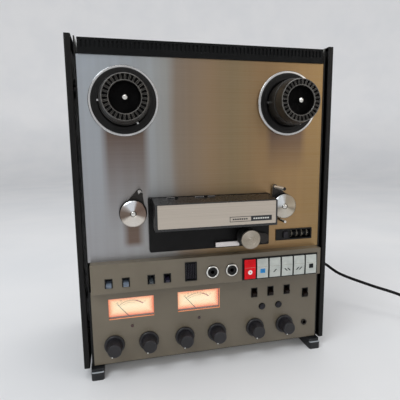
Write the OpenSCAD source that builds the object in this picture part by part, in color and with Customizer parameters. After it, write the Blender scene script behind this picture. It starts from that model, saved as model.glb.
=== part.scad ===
// Reel to reel tape deck, an upright three-motor machine on two foot runners.
// x runs to the right, y to the back and z up. The origin lies on the floor, under the middle of the case.
// Inside the modules a place is given by x, by its depth d behind the front edges of the side panels
// and by its height h above the underside of the case. Lengths are in millimetres, angles in degrees.

/* [Case] */
// Overall width across the two side panels
case_w = 445; // [440:1:450]
// Height of the side panels
panel_h = 535; // [534:1:545]
// Depth of the side panels, front edge to rear edge
case_d = 230; // [228:1:260]
// Thickness of a side panel
panel_t = 9.5; // [9:0.5:10.5]
// Height of the foot runners under the case
foot_h = 18.5; // [17:0.5:22]
// Width of a foot runner
foot_w = 21; // [19:0.5:23]
// Depth of the outside of the rear cover behind the front edges
rear_d = 216; // [214:1:218]

/* [Front panels] */
// Height of the top edge of the electronics panel
electronics_top = 131; // [130.5:0.1:131.5]
// Height of the lower edge of the transport panel
strip_bottom = 132; // [131.8:0.1:132.5]
// Height of the upper edge of the transport panel, where the deck plate starts
strip_top = 181.5; // [181:0.5:183]
// How far the transport panel stands out in front of the side panels
strip_proud = 12; // [12:0.5:12.5]
// Height of the top edge of the deck plate
deck_top = 507.5; // [507:0.5:508]
// Thickness of each front plate
plate_t = 2.5; // [2.3:0.1:2.5]

/* [Top grille] */
// Number of ribs across the grille
rib_count = 62; // [50:1:70]
// Width of one rib
rib_w = 3.2; // [2.6:0.1:3.6]
// How far a rib stands out
rib_out = 1.8; // [1.2:0.1:2.5]
// Length of the ribbed part of the top
ribbed_len = 66; // [40:1:100]

/* [Reels] */
// Distance of a reel spindle from the centre line
reel_x = 138.8; // [138:0.1:140]
// Height of the reel spindles
reel_h = 438.5; // [437:0.5:440]
// Diameter of a reel table
table_dia = 109; // [106:0.5:110]
// Diameter of the part of the hub adaptor that a reel slides over
hub_dia = 75.8; // [75.6:0.1:76]
// Diameter of the front face of the hub adaptor's locking knob
lock_dia = 68; // [64:0.5:70]
// Diameter of the recess in the locking knob
recess_dia = 46; // [40:0.5:50]
// How far the locking knob reaches in front of the side panels
lock_front = 47; // [45:0.5:50]
// Diameter of the reel spindle
spindle_dia = 8.5; // [8:0.1:9]

/* [Tape path] */
// Distance of a guide roller from the centre line
roller_x = 131.4; // [131.2:0.1:132]
// Height of the guide rollers
roller_h = 261.2; // [260:0.1:262]
// Diameter of the metal cap of a guide roller
roller_dia = 43; // [40:0.5:43]
// Distance of a tension arm's pin from the centre of its roller
arm_len = 36.5; // [36:0.5:38]
// Angle of the supply arm's pin from upright, clockwise as seen from the front
supply_arm_angle = 18; // [12:1:20]
// Angle of the take-up arm's pin from upright, clockwise as seen from the front
takeup_arm_angle = -22; // [-28:1:-18]
// Place of the capstan across the deck
capstan_x = 62; // [61.5:0.1:62.5]
// Height of the capstan
capstan_h = 238.5; // [238.3:0.1:239]
// Diameter of the capstan
capstan_dia = 7; // [6:0.2:7]
// Diameter of the pinch roller
pinch_dia = 34; // [33:0.2:34]
// Place of the pinch roller across the deck
pinch_x = 59.7; // [59.5:0.1:60]
// Height of the pinch roller
pinch_h = 211.8; // [211.5:0.1:212]

/* [Head cover] */
// Half the width of the head cover
cover_half = 101; // [100:0.1:101]
// Height of the open lower edge of the head cover
cover_bottom = 237; // [236.5:0.1:237]
// Height of the front edge of the cover's top
cover_top = 280; // [279:0.1:280]
// How far the head cover stands out in front of the side panels
cover_front = 47; // [46:0.5:48]

/* [Transport controls] */
// Distance between neighbouring transport buttons
button_pitch = 23.5; // [23.4:0.05:23.6]
// Place of the first transport button, the record button
button_x = 65.5; // [65.4:0.05:65.6]
// Height of the middle of the transport buttons
button_h = 153.3; // [153:0.1:153.6]
// Width of a transport button
button_w = 20.4; // [20:0.1:20.5]
// Length of a transport button, top to bottom
button_len = 34.8; // [34:0.1:35]
// Outside diameter of a microphone socket's ring
socket_ring_dia = 22.8; // [20:0.2:23]
// Diameter of a quarter-inch socket's hole
socket_dia = 6.5; // [6.4:0.05:6.6]

/* [Electronics panel] */
// Height of the row of level knobs
knob_h = 36; // [35:0.5:37]
// Diameter of a level knob's skirt
knob_skirt_dia = 34; // [30:0.5:35]
// Diameter of a level knob's cap
knob_cap_dia = 25; // [22:0.5:27]
// How far a level knob stands out in front of the side panels
knob_front = 22.6; // [18:0.2:25]
// Width of a level meter's window
meter_w = 75.5; // [74:0.5:76]
// Height of a level meter's window
meter_tall = 36; // [34:0.5:36.5]
// Length of a level meter's needle
needle_len = 36; // [33:0.5:36]

/* [Hidden] */
$fn = 48;

// Colours
steel = [0.62, 0.61, 0.58];
bright = [0.80, 0.80, 0.79];
black = [0.07, 0.07, 0.07];
soft_black = [0.11, 0.11, 0.12];
bronze = [0.42, 0.39, 0.33];
cream = [0.85, 0.82, 0.74];
red = [0.80, 0.10, 0.12];
button_white = [0.84, 0.85, 0.81];
dial_glow = [0.98, 0.78, 0.52];
copper = [0.70, 0.42, 0.22];
board_green = [0.16, 0.34, 0.20];
zinc = [0.55, 0.55, 0.52];

// Levels and widths that follow from the driving dimensions
front_y = -case_d / 2;
panel_in = case_w / 2 - panel_t; // inner face of a side panel
wall_out = panel_in - 3.5; // outer face of the steel case wall
wall_in = wall_out - 2;
deck_half = wall_in - 0.5; // half the width of the deck plate
strip_half = deck_half - 3.5; // half the width of the transport panel
electronics_half = deck_half - 1.4;
grille_half = deck_half - 2.5;
return_in = wall_in - 12.5; // inner edge of the case's folded flanges
wall_d = 5; // depth of the case wall's front edge
case_back = rear_d - 2; // depth of the case's rear flange
screw_d = [40, 180]; // depths of the side panels' screws
screw_h = [60, 470]; // heights of the side panels' screws
deck_d = 6; // depth of the deck plate's face
deck_back = deck_d + plate_t;
face_d = 2.4; // depth of the electronics panel's face
face_back = face_d + plate_t;
strip_face = -strip_proud;
strip_back = strip_face + plate_t;
run = 0.06; // radial clearance of a running fit
free = 0.3; // clearance of a part that only passes through a hole

// Reel parts
table_face = 0;
mat_r = table_dia / 2 - 4.3;
mat_in = 40;
key_out = 41.5;
key_front = -8;
lock_back = 27;
drum_r = 24; // brake drum behind the deck plate
motor_face = 30; // depth of a reel motor's front
motor_r = 46;

// Roller parts
post_r = 3;
flange_r = roller_dia / 2 + 1;
drum_tape_r = 16;
arm_back = 5.5;
arm_front = 1.5;
arm_hub_r = 20;
arm_tip_r = 4.5;
pin_front = 36;
pin_r = 2.9;

// Fixed guide under the take-up roller
guide_x = 124;
guide_h = 237.2;
guide_r = 2.2;
guide_front = -28;

// Capstan drive
pulley_x = -38;
pulley_r = 9;
flywheel_r = 48;
belt_gap = 0.25;
belt_t = 1.2;

// Pinch arm
pivot_x = 95;
pivot_h = 205;
pivot_r = 4;
pinch_pin_r = 2.5;

// Head cover
hinge_d = -4.5; // axis of the cover's hinge
hinge_h = 281;
hinge_r = 3.5;
cover_wall = 2.2;
plate_half = cover_half - 3.7;

// Transport panel controls
slide_at = [[-175.5, 149.4], [-148, 149.4], [-106.9, 150.3], [-80, 150.3]];
slide_wide = [4.2, 4.2, 3.1, 3.1];
slide_w = 11.2;
slide_tall = 14.6;
slide_tilt = 22;
slide_axis = -4;
rocker_at = [-39.5, 158];
rocker_w = 20.7;
rocker_tall = 33.1;
rocker_axis = -6;
rocker_tilt = 6;
mic_at = [[-2, 153.9], [32.8, 154.4]];
bezel_in = 0.6; // gap around a transport button
bezel_x0 = button_x - button_w / 2 - 2;
bezel_x1 = button_x + 5 * button_pitch + button_w / 2 + 1.8;
bezel_h0 = button_h - button_len / 2 - 1.2;
bezel_h1 = button_h + button_len / 2 + 1.2;
bezel_lip = 1.3;

// Electronics panel controls
meter_at = [[-140.3, 98.6], [-23, 99.4]];
lamp_at = [[-140.2, 66], [-23.2, 66.7]];
knob_x = [-171.1, -112.9, -49.8, 8.9, 81.7, 140.2];
knob_rest = 205; // pointer's angle from upright at the lowest setting, clockwise
toggle_at = [[80.5, 102.4], [112.3, 102.4], [144.7, 102.4], [182.3, 92.4]];
toggle_w = 11;
toggle_tall = 17;
toggle_tilt = 14;
toggle_axis = 9.5;
lever_reach = 12.5; // from a toggle's or slide switch's axis to its tip
mode_at = [[95.9, 74.5], [128.6, 74.5]];
mode_r = 5.1;
phones_at = [181.7, 33.3];
needle_drop = 23; // needle axis below the middle of the window
needle_tilt = 40;
pivot_pin_r = 0.8;

// Tape counter
counter_x = 158;
counter_h = 206.5;
counter_w = 71;
counter_tall = 20.5;
wheel_x0 = 150;
wheel_x1 = 191;
wheel_r = 7.4;
wheel_d = 14;
reset_x = 140;

// Rear panel
rca_at = [[-150, 60], [-130, 60], [-100, 60], [-80, 60]];
rca_r = 4.15;
cord_x = 175;
cord_h = 150;
cord_r = 3.3;

// ---------- Shape helpers ----------

module at(x, d, h) {
    translate([x, front_y + d, foot_h + h]) children();
}

// Box between two places across, in depth and in height
module block(x0, x1, d0, d1, h0, h1) {
    at(x0, d0, h0) cube([x1 - x0, d1 - d0, h1 - h0]);
}

// Round bar along the depth
module rod(x, h, d0, d1, r) {
    at(x, d0, h) rotate([-90, 0, 0]) cylinder(h = d1 - d0, r = r);
}

// Cone along the depth, with radius r0 at its front
module taper(x, h, d0, d1, r0, r1) {
    at(x, d0, h) rotate([-90, 0, 0]) cylinder(h = d1 - d0, r1 = r0, r2 = r1);
}

// Tube along the depth
module tube(x, h, d0, d1, r_out, r_in) {
    difference() {
        rod(x, h, d0, d1, r_out);
        rod(x, h, d0 - 1, d1 + 1, r_in);
    }
}

// Round bar across the deck
module bar(x0, x1, d, h, r) {
    at(x0, d, h) rotate([0, 90, 0]) cylinder(h = x1 - x0, r = r);
}

// Rectangle with true round corners, from the origin
module rounded(w, l, r) {
    translate([r, 0]) square([w - 2 * r, l]);
    translate([0, r]) square([w, l - 2 * r]);
    for (x = [r, w - r], y = [r, l - r]) translate([x, y]) circle(r = r);
}

// Plate facing the front, with round corners
module plate(x0, x1, h0, h1, d0, d1, r) {
    at(x0, d1, h0) rotate([90, 0, 0]) linear_extrude(d1 - d0) rounded(x1 - x0, h1 - h0, r);
}

// Upright post with round corners in plan
module upright(x0, x1, d0, d1, h0, h1, r) {
    at(x0, d0, h0) linear_extrude(h1 - h0) rounded(x1 - x0, d1 - d0, r);
}

// Shape drawn in depth and height, run across the deck
module across(x0, x1) {
    at(x0, 0, 0) rotate([90, 0, 90]) linear_extrude(x1 - x0) children();
}

// Turns its children about an axis along the depth, clockwise as seen from the front
module swing(x, h, a) {
    at(x, 0, h) rotate([0, a, 0]) at_back(x, h) children();
}

module at_back(x, h) {
    translate([-x, -front_y, -foot_h - h]) children();
}

// Turns its children about an axis across the deck, raising the front for a positive angle
module tip(d, h, a) {
    at(0, d, h) rotate([-a, 0, 0]) translate([0, -front_y - d, -foot_h - h]) children();
}

module both_sides() {
    children();
    mirror([1, 0, 0]) children();
}

// ---------- Case ----------

module chassis_frame() {
    color(zinc) {
        block(-wall_in, wall_in, wall_d, case_back, 0, 1.5);
        both_sides() {
            block(wall_in, wall_out, wall_d, case_back, 0, panel_h - 2);
            block(return_in, wall_in + 1, deck_back, deck_back + 1.5, strip_top, deck_top - 3);
            block(return_in, wall_in + 1, face_back, face_back + 1.5, 1, electronics_top);
            block(return_in, wall_in + 1, 12, case_back, deck_top - 1.5, deck_top);
            block(return_in, wall_in + 1, case_back - 1.5, case_back, 1, deck_top - 1);
        }
        block(-wall_in - 1, wall_in + 1, deck_back + 1, case_back, electronics_top, electronics_top + 1.5);
    }
}

// Side panel, a folded tray open towards the case, with a distance piece at each screw
module side_panel() {
    skin = 1.6;
    difference() {
        union() {
            difference() {
                upright(panel_in, case_w / 2, 0, case_d, 0, panel_h, 2);
                block(panel_in - 1, case_w / 2 - skin, skin, case_d - skin, skin, panel_h - skin);
            }
            for (d = screw_d, h = screw_h) bar(wall_out, case_w / 2 - skin / 2, d, h, 7);
        }
        for (d = screw_d, h = screw_h) bar(wall_out - 1, case_w / 2 + 1, d, h, 2.4);
    }
}

module side_panels() {
    color(black) both_sides() side_panel();
}

// Comb outline: a strip from base to 0 with ribs that reach tip_out
module rib_comb(base, tip_out) {
    pitch = 2 * grille_half / rib_count;
    first = -grille_half + (pitch - rib_w) / 2;
    rib = [[rib_w, 0], [rib_w, tip_out], [0, tip_out], [0, 0]];
    polygon(concat(
        [[-grille_half, base], [grille_half, base], [grille_half, 0]],
        [for (i = [rib_count - 1:-1:0], p = rib) [first + i * pitch + p[0], p[1]]],
        [[-grille_half, 0]]));
}

module top_grille() {
    front = 3.5;
    skin = 2.5;
    lip = 6; // depth of the plain bands above and below the front ribs
    crown = panel_h - 3.7; // height of the upper band
    top = crown - 1.8; // height of the plain top skin
    ribs_from = deck_top + 9.5;
    ribs_to = crown - 3.8;
    color(black) {
        block(-grille_half, grille_half, front, front + lip, deck_top, ribs_from);
        at(0, front + rib_out, ribs_from) linear_extrude(ribs_to - ribs_from) rib_comb(skin, -rib_out);
        block(-grille_half, grille_half, front, front + lip, ribs_to, crown);
        at(0, front + ribbed_len, top) rotate([90, 0, 0])
            linear_extrude(ribbed_len - lip) rib_comb(-skin, 1.5);
        block(-grille_half, grille_half, front + ribbed_len - 1, case_back, top - skin, top);
        both_sides() block(grille_half - 3, grille_half, front + 5, case_back, deck_top, top - 1);
        block(-grille_half, grille_half, case_back - 2, case_back, deck_top, top - 1);
    }
}

// Column of vent slots through the rear cover, from x to the right and from h upwards
module vent_slots(x, h, count) {
    slot_w = 110;
    slot_tall = 4;
    for (i = [0:count - 1]) {
        low = h + 2.5 * i * slot_tall;
        block(x, x + slot_w, case_back - 1, rear_d + 1, low, low + slot_tall);
    }
}

module rear_cover() {
    color(black) difference() {
        block(-deck_half, deck_half, case_back, rear_d, 2, deck_top - 3.5);
        for (x = [-165, 55]) vent_slots(x, 360, 12);
        vent_slots(60, 40, 6);
        for (p = rca_at) rod(p[0], p[1], case_back - 1, rear_d + 1, 4.6 + free);
        rod(cord_x, cord_h, case_back - 1, rear_d + 1, 6.5 + free);
        for (x = [-201, 201], h = [20, 255, 490]) rod(x, h, case_back - 1, rear_d + 1, 2);
    }
}

module deck_plate() {
    color(steel) difference() {
        block(-deck_half, deck_half, deck_d, deck_back, strip_top, deck_top);
        both_sides() {
            rod(reel_x, reel_h, deck_d - 1, deck_back + 1, 12);
            rod(roller_x, roller_h, deck_d - 1, deck_back + 1, post_r + free);
        }
        rod(capstan_x, capstan_h, deck_d - 1, deck_back + 1, 12);
        rod(pivot_x, pivot_h, deck_d - 1, deck_back + 1, pivot_r + 2);
        block(20, 40, deck_d - 1, deck_back + 1, 195.2, 204.2);
        block(counter_x - counter_w / 2 + 0.9, counter_x + counter_w / 2 - 0.9, deck_d - 1, deck_back + 1,
            counter_h - counter_tall / 2 + 0.9, counter_h + counter_tall / 2 - 0.9);
        rod(guide_x, guide_h, deck_d - 1, deck_back + 1, guide_r + free);
    }
}
module transport_panel() {
    color(bronze) difference() {
        block(-strip_half, strip_half, strip_face, deck_back + 0.5, strip_bottom, strip_top);
        block(-strip_half + 2, strip_half - 2, strip_back, deck_back + 2, strip_bottom + 2, strip_top - 2);
        for (p = slide_at)
            block(p[0] - slide_w / 2 - 0.1, p[0] + slide_w / 2 + 0.1, strip_face - 1, strip_back + 1,
                p[1] - slide_tall / 2 - 0.1, p[1] + slide_tall / 2 + 0.1);
        block(rocker_at[0] - rocker_w / 2 + 0.4, rocker_at[0] + rocker_w / 2 - 0.4, strip_face - 1,
            strip_back + 1, rocker_at[1] - rocker_tall / 2 + 0.4, rocker_at[1] + rocker_tall / 2 - 0.4);
        for (p = mic_at) rod(p[0], p[1], strip_face - 1, strip_back + 1, 6.6 + free);
        block(bezel_x0 - 0.2, bezel_x1 + 0.2, strip_face - 1, strip_back + 1,
            bezel_h0 - 0.2, bezel_h1 + 0.2);
    }
}

module electronics_panel() {
    color(bronze) difference() {
        block(-electronics_half, electronics_half, face_d, face_back, 2.5, electronics_top);
        for (p = meter_at)
            block(p[0] - meter_w / 2, p[0] + meter_w / 2, face_d - 1, face_back + 1,
                p[1] - meter_tall / 2, p[1] + meter_tall / 2);
        for (p = lamp_at) rod(p[0], p[1], face_d - 1, face_back + 1, 2.5 + free);
        for (x = knob_x) rod(x, knob_h, face_d - 1, face_back + 1, 3.6);
        for (p = toggle_at)
            block(p[0] - toggle_w / 2 - 0.1, p[0] + toggle_w / 2 + 0.1, face_d - 1, face_back + 1,
                p[1] - toggle_tall / 2 - 0.1, p[1] + toggle_tall / 2 + 0.1);
        for (p = mode_at) rod(p[0], p[1], face_d - 1, face_back + 1, mode_r + 0.9);
        rod(phones_at[0], phones_at[1], face_d - 1, face_back + 1, 4.6 + free);
    }
}

module foot_rails() {
    inner = 190;
    step = 5.3;
    length = 213;
    color(black) both_sides() difference() {
        union() {
            upright(inner, inner + foot_w, -9, length, -foot_h, -step, 4);
            upright(inner, inner + foot_w, -5, length, -step, 0, 3);
        }
        for (s = [-1, 1])
            at(inner + foot_w / 2, case_d / 2 + s * 75, -foot_h - 1) cylinder(h = 13, r = 2.1);
    }
}

// ---------- Tape path ----------

module head_base() {
    half = 106.5;
    base_front = -0.4;
    ear_in = cover_half + 0.4;
    ear_out = ear_in + 3;
    color(soft_black) {
        difference() {
            union() {
                plate(-half, half, 192.5, 285, base_front, deck_d, 3);
                both_sides()
                    block(ear_in, ear_out, hinge_d - hinge_r, base_front + 1, hinge_h - 4, hinge_h + hinge_r);
            }
            rod(capstan_x, capstan_h, base_front - 1, deck_d + 1, capstan_dia / 2 + 1.5);
            rod(pivot_x, pivot_h, base_front - 1, deck_d + 1, pivot_r + run);
            block(23.5, 36.5, base_front - 1, deck_d + 1, 197.3, 201.9);
        }
        both_sides() bar(cover_half - 6, ear_in + 1, hinge_d, hinge_h, 1.25);
    }
}

module tape_head(x, w) {
    face_h = 240.5;
    block(x - w / 2, x + w / 2, -15, -2.4, face_h + 3, 262);
    intersection() {
        rod(x, face_h + w * 0.9, -14, -3.4, w * 0.9);
        block(x - w / 2, x + w / 2, -14, -3.4, face_h, face_h + 3);
    }
}

module tape_heads() {
    post_end = -9.5;
    color(bright) {
        difference() {
            block(-90, 90, -2.4, -0.4, 239, 274);
            rod(capstan_x, capstan_h, -4, 1, capstan_dia / 2 + 2);
        }
        tape_head(-58, 13);
        tape_head(-22, 17);
        tape_head(16, 17);
        for (x = [-80, 82]) {
            rod(x, 246, -16, -2.4, 2.5);
            rod(x, 246, -18, -16, 4);
        }
        both_sides() {
            rod(roller_x, roller_h, post_end, deck_back, post_r);
            rod(roller_x, roller_h, deck_back, deck_back + 3, 6);
        }
        rod(guide_x, guide_h, guide_front, deck_back, guide_r);
        rod(guide_x, guide_h, deck_back, deck_back + 2.5, 5);
    }
}

// Outline of an upright arm: two circles joined by their outer tangents
module arm_outline(hub_r, tip_r, reach) {
    lean = asin((hub_r - tip_r) / reach);
    right = [cos(lean), sin(lean)];
    left = [-cos(lean), sin(lean)];
    end = [0, reach];
    circle(r = hub_r);
    translate(end) circle(r = tip_r);
    polygon([hub_r * right, end + tip_r * right, end + tip_r * left, hub_r * left]);
}

module tension_arm(x, angle) {
    color(bright) swing(x, roller_h, angle) difference() {
        union() {
            at(x, arm_back, roller_h) rotate([90, 0, 0]) linear_extrude(arm_back - arm_front)
                arm_outline(arm_hub_r, arm_tip_r, arm_len);
            rod(x, roller_h + arm_len, -pin_front, arm_front + 1, pin_r);
        }
        rod(x, roller_h, arm_front - 1, arm_back + 1, post_r + run);
    }
}

module supply_tension_arm() {
    tension_arm(-roller_x, supply_arm_angle);
}

module takeup_tension_arm() {
    tension_arm(roller_x, takeup_arm_angle);
}

module guide_roller(x) {
    cap_front = -11.5;
    cap_back = -8;
    color(black) tube(x, roller_h, -1.5, 1, flange_r, post_r + run);
    color(steel) tube(x, roller_h, cap_back, -1.5, drum_tape_r, post_r + run);
    color(bright) difference() {
        rod(x, roller_h, cap_front, cap_back, roller_dia / 2);
        rod(x, roller_h, cap_front + 1.8, cap_back + 1, post_r + run);
    }
}

module supply_roller() {
    guide_roller(-roller_x);
}

module takeup_roller() {
    guide_roller(roller_x);
}

module head_cover() {
    pin_clear = 1.25 + run;
    front = -cover_front;
    color(soft_black) difference() {
        across(-cover_half, cover_half) {
            polygon([[front, cover_bottom], [-1, cover_bottom], [-1, hinge_h], [hinge_d, hinge_h + hinge_r],
                [front, cover_top]]);
            translate([hinge_d, hinge_h]) circle(r = hinge_r);
        }
        across(-cover_half + cover_wall, cover_half - cover_wall)
            polygon([[front + cover_wall, cover_bottom - 1], [0, cover_bottom - 1], [0, hinge_h - 5],
                [hinge_d - 5, hinge_h - 5], [hinge_d - 5, hinge_h],
                [front + cover_wall, cover_top - cover_wall]]);
        block(-cover_half - 1, cover_half + 1, -12, 0, cover_bottom - 1, hinge_h - 8);
        both_sides() bar(cover_half - 6.4, cover_half + 1, hinge_d, hinge_h, pin_clear);
    }
    color(cream) plate(-plate_half, plate_half, cover_bottom + 4.3, cover_top - 1.4, front - 1.2, front, 1);
}

module capstan() {
    color(bright) {
        rod(capstan_x, capstan_h, -25, 84, capstan_dia / 2);
        rod(capstan_x, capstan_h, 56, 80, flywheel_r);
    }
}

module motor_pulley() {
    color(steel) {
        rod(pulley_x, capstan_h, 60, 76, pulley_r);
        rod(pulley_x, capstan_h, 75, 130, 3);
    }
}

module drive_belt() {
    color(black) at(0, 72, 0) rotate([90, 0, 0]) linear_extrude(8) difference() {
        belt_loop(belt_gap + belt_t);
        belt_loop(belt_gap);
    }
}

// Outline of a loop around the flywheel and the motor pulley, standing off them by gap
module belt_loop(gap) {
    hull() {
        translate([capstan_x, capstan_h]) circle(r = flywheel_r + gap, $fn = 96);
        translate([pulley_x, capstan_h]) circle(r = pulley_r + gap, $fn = 32);
    }
}

module pinch_arm() {
    span = [pinch_x - pivot_x, pinch_h - pivot_h];
    arm_face = -6;
    color(steel) {
        at(pivot_x, -1.5, pivot_h) rotate([90, 0, 0]) linear_extrude(-1.5 - arm_face)
            rotate(-atan2(span[0], span[1])) arm_outline(9, 8, norm(span));
        rod(pivot_x, pivot_h, -2, 14, pivot_r);
        rod(pivot_x, pivot_h, 10, 13, 8);
        rod(pinch_x, pinch_h, -32.8, -5, pinch_pin_r);
    }
}

module pinch_roller() {
    hub_r = 9;
    color(bright) difference() {
        union() {
            rod(pinch_x, pinch_h, -35, -31, pinch_dia / 2 - 0.25);
            rod(pinch_x, pinch_h, -32, -8, hub_r);
        }
        rod(pinch_x, pinch_h, -33, -7, pinch_pin_r + run);
    }
    color(black) tube(pinch_x, pinch_h, -31, -8, pinch_dia / 2, hub_r + 0.05);
}

module cue_lever() {
    color(bright) {
        plate(5.8, 48.2, 195.6, 203.6, -7, -1.5, 0.8);
        rod(34, 199.6, -2, 12, 2);
        rod(34, 199.6, 9.5, 11, 5.5);
    }
}

// ---------- Reel drive ----------

module reel_table(x) {
    color(steel) {
        rod(x, reel_h, table_face, 5, table_dia / 2);
        rod(x, reel_h, 4, 26, 10);
        rod(x, reel_h, 12, 24, drum_r);
        rod(x, reel_h, -49, 72, spindle_dia / 2);
    }
    color(black) tube(x, reel_h, -1, table_face, mat_r, mat_in);
    color(soft_black) difference() {
        union() {
            rod(x, reel_h, -lock_back + 0.5, key_front - 1, hub_dia / 2);
            rod(x, reel_h, key_front - 2, table_face, hub_dia / 2 - 1.4);
            for (a = [30, 150, 270])
                swing(x, reel_h, a) block(x - 2, x + 2, key_front, -1, reel_h + 30, reel_h + key_out);
        }
        rod(x, reel_h, -lock_back - 1, 1, spindle_dia / 2 + 0.15);
    }
}

module supply_reel_table() {
    reel_table(-reel_x);
}

module takeup_reel_table() {
    reel_table(reel_x);
}

module hub_adaptor(x) {
    color(soft_black) difference() {
        taper(x, reel_h, -lock_front, -lock_back, lock_dia / 2, hub_dia / 2 - 1.4);
        rod(x, reel_h, -lock_front - 1, -lock_front + 11, recess_dia / 2);
        rod(x, reel_h, -lock_front - 1, 0, spindle_dia / 2 + run);
    }
}

module supply_hub_adaptor() {
    hub_adaptor(-reel_x);
}

module takeup_hub_adaptor() {
    hub_adaptor(reel_x);
}

module reel_motor(x) {
    can_back = motor_face + 55;
    color(zinc) difference() {
        rod(x, reel_h, motor_face, can_back, motor_r);
        rod(x, reel_h, motor_face - 1, 75, spindle_dia / 2 + run);
    }
    color(steel) for (a = [0, 120, 240])
        swing(x, reel_h, a) rod(x, reel_h + 38, deck_back, motor_face, 4);
    // Brake band round the drum, with its anchor post under it
    color(copper) difference() {
        union() {
            tube(x, reel_h, 14, 22, drum_r + 2.4, drum_r + 1.2);
            block(x - 2, x + 2, 14, 22, reel_h - drum_r - 8, reel_h - drum_r - 1.5);
            rod(x, reel_h - drum_r - 8, deck_back, 22, 3);
        }
        block(x - 14, x + 14, 13, 23, reel_h + 15, reel_h + drum_r + 4);
    }
}

module drive_motors() {
    can_front = 88;
    reel_motor(-reel_x);
    reel_motor(reel_x);
    color(zinc) tube(pulley_x, capstan_h, can_front, 150, 36, 3 + run);
    color(steel) for (a = [0, 180, 270])
        swing(pulley_x, capstan_h, a) rod(pulley_x, capstan_h + 30, deck_back, can_front, 4);
    // Capstan bearing on the back of the deck plate
    color(steel) difference() {
        union() {
            rod(capstan_x, capstan_h, deck_back, 12, 18);
            rod(capstan_x, capstan_h, 11, 50, 9);
        }
        rod(capstan_x, capstan_h, 0, 51, capstan_dia / 2 + run);
    }
    // Solenoid that pulls the pinch arm, on the deck plate beside it
    color(zinc) block(150, 186, deck_back, 44, 225, 252);
    color(steel) rod(168, 238.5, 44, 56, 4);
}

// ---------- Electronics ----------

module power_transformer() {
    core_h = 66;
    color(zinc) difference() {
        union() {
            block(105, 175, 110, 160, 1.5, core_h);
            block(95, 185, 118, 152, 1.5, 4.5);
        }
        for (x = [100, 180]) at(x, 135, 0) cylinder(h = 6, r = 2.2);
    }
    color(copper) for (d = [96, 160]) block(118, 162, d, d + 14, 14, core_h - 12);
}

module can_capacitor(x, d, r, tall) {
    at(x, d, 15.6) cylinder(h = tall, r = r);
}

module amplifier_board() {
    board_h = 14;
    color(board_green) difference() {
        block(-190, 60, 45, 200, board_h, board_h + 1.6);
        for (x = [-180, 50], d = [55, 190]) at(x, d, board_h - 1) cylinder(h = 4, r = 1.6);
    }
    color(steel) for (x = [-180, 50], d = [55, 190])
        at(x, d, 1.5) difference() {
            cylinder(h = board_h - 1.5, r = 3.5);
            translate([0, 0, 1]) cylinder(h = board_h, r = 1.6);
        }
    color(soft_black) {
        for (i = [0:4]) can_capacitor(-20 + i * 16, 175, 6.5, 28);
        for (i = [0:7], j = [0:1]) can_capacitor(-165 + i * 18, 90 + j * 40, 3.5, 12);
        for (i = [0:3]) block(-160 + i * 40, -140 + i * 40, 150, 157, 15.6, 19.6);
    }
    // Finned heat sink for the output stages
    color(zinc) {
        block(-150, -60, 190, 193, 15.6, 60);
        for (i = [0:8]) block(-150 + i * 10.8, -148 + i * 10.8, 178, 190.5, 15.6, 60);
    }
    // Level controls behind the knobs
    color(zinc) for (x = knob_x) tube(x, knob_h, face_back, 15, 9, 3 + run);
}

// The cord's centre line passes through these places, in the model's own x, y and z
cord_start = [cord_x, front_y + rear_d + 12, foot_h + cord_h];
plug_at = [526, -186, cord_r + 5];
plug_turn = -80; // direction in which the plug points, from the x axis
plug_dir = [cos(plug_turn), sin(plug_turn), 0];
cord_knots = [
    [188, cord_start[1] - 30, 161], cord_start, [188, 148, 161], [232, 158, 141], [290, 126, 117],
    [336, 80, 98], [364, 45, 77], [410, -5, 62.5], [449, -55, 54], [481, -94, 36], [505, -130, 16],
    [518, -160, 8.5], plug_at + 2 * plug_dir, plug_at + 40 * plug_dir];

// Point at share t of the stretch between knots b and c, on a smooth curve through all of them
function along(a, b, c, d, t) =
    0.5 * (2 * b + (c - a) * t + (2 * a - 5 * b + 4 * c - d) * t * t + (3 * b - a - 3 * c + d) * t * t * t);
function unit(v) = v / norm(v);

// Cord swept round its centre line, in rings that stay upright
module cord_sweep() {
    sides = 14;
    steps = 6;
    knots = cord_knots;
    path = concat(
        [for (i = [1:len(knots) - 3], s = [0:steps - 1])
            along(knots[i - 1], knots[i], knots[i + 1], knots[i + 2], s / steps)],
        [knots[len(knots) - 2]]);
    last = len(path) - 1;
    rings = [for (i = [0:last])
        let (ahead = unit(path[min(i + 1, last)] - path[max(i - 1, 0)]),
            side = unit(cross(ahead, [0, 0, 1])),
            up = cross(side, ahead))
        for (k = [0:sides - 1], turn = k * 360 / sides)
            path[i] + cord_r * (cos(turn) * side + sin(turn) * up)];
    skin = [for (i = [0:last - 1], k = [0:sides - 1])
        let (a = i * sides + k, b = i * sides + (k + 1) % sides)
        for (face = [[a, b, a + sides], [b, b + sides, a + sides]]) face];
    ends = [[for (k = [sides - 1:-1:0]) k], [for (k = [0:sides - 1]) last * sides + k]];
    polyhedron(rings, concat(skin, ends));
}

module power_cord() {
    relief_end = rear_d + 18;
    color(black) {
        cord_sweep();
        // Grommet and strain relief, with the cord's end inside
        difference() {
            union() {
                rod(cord_x, cord_h, case_back - 4, rear_d, 6.5);
                rod(cord_x, cord_h, rear_d, rear_d + 2, 9);
                taper(cord_x, cord_h, rear_d + 1, relief_end, 6.5, 5);
            }
            rod(cord_x, cord_h, rear_d + 6, relief_end + 1, cord_r + 0.6);
        }
        // Two-pin plug, lying on the floor
        translate(plug_at) rotate([0, 90, plug_turn]) difference() {
            union() {
                cylinder(h = 34, r1 = 5.4, r2 = 8.3);
                translate([0, 0, 34]) cylinder(h = 7, r = 8.3);
            }
            translate([0, 0, -1]) cylinder(h = 9, r = cord_r + 0.3);
        }
    }
    color(bright) translate(plug_at) rotate([0, 90, plug_turn])
        for (s = [-1, 1]) translate([0, 6 * s, 41.1]) cylinder(h = 19, r = 2);
}

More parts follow.
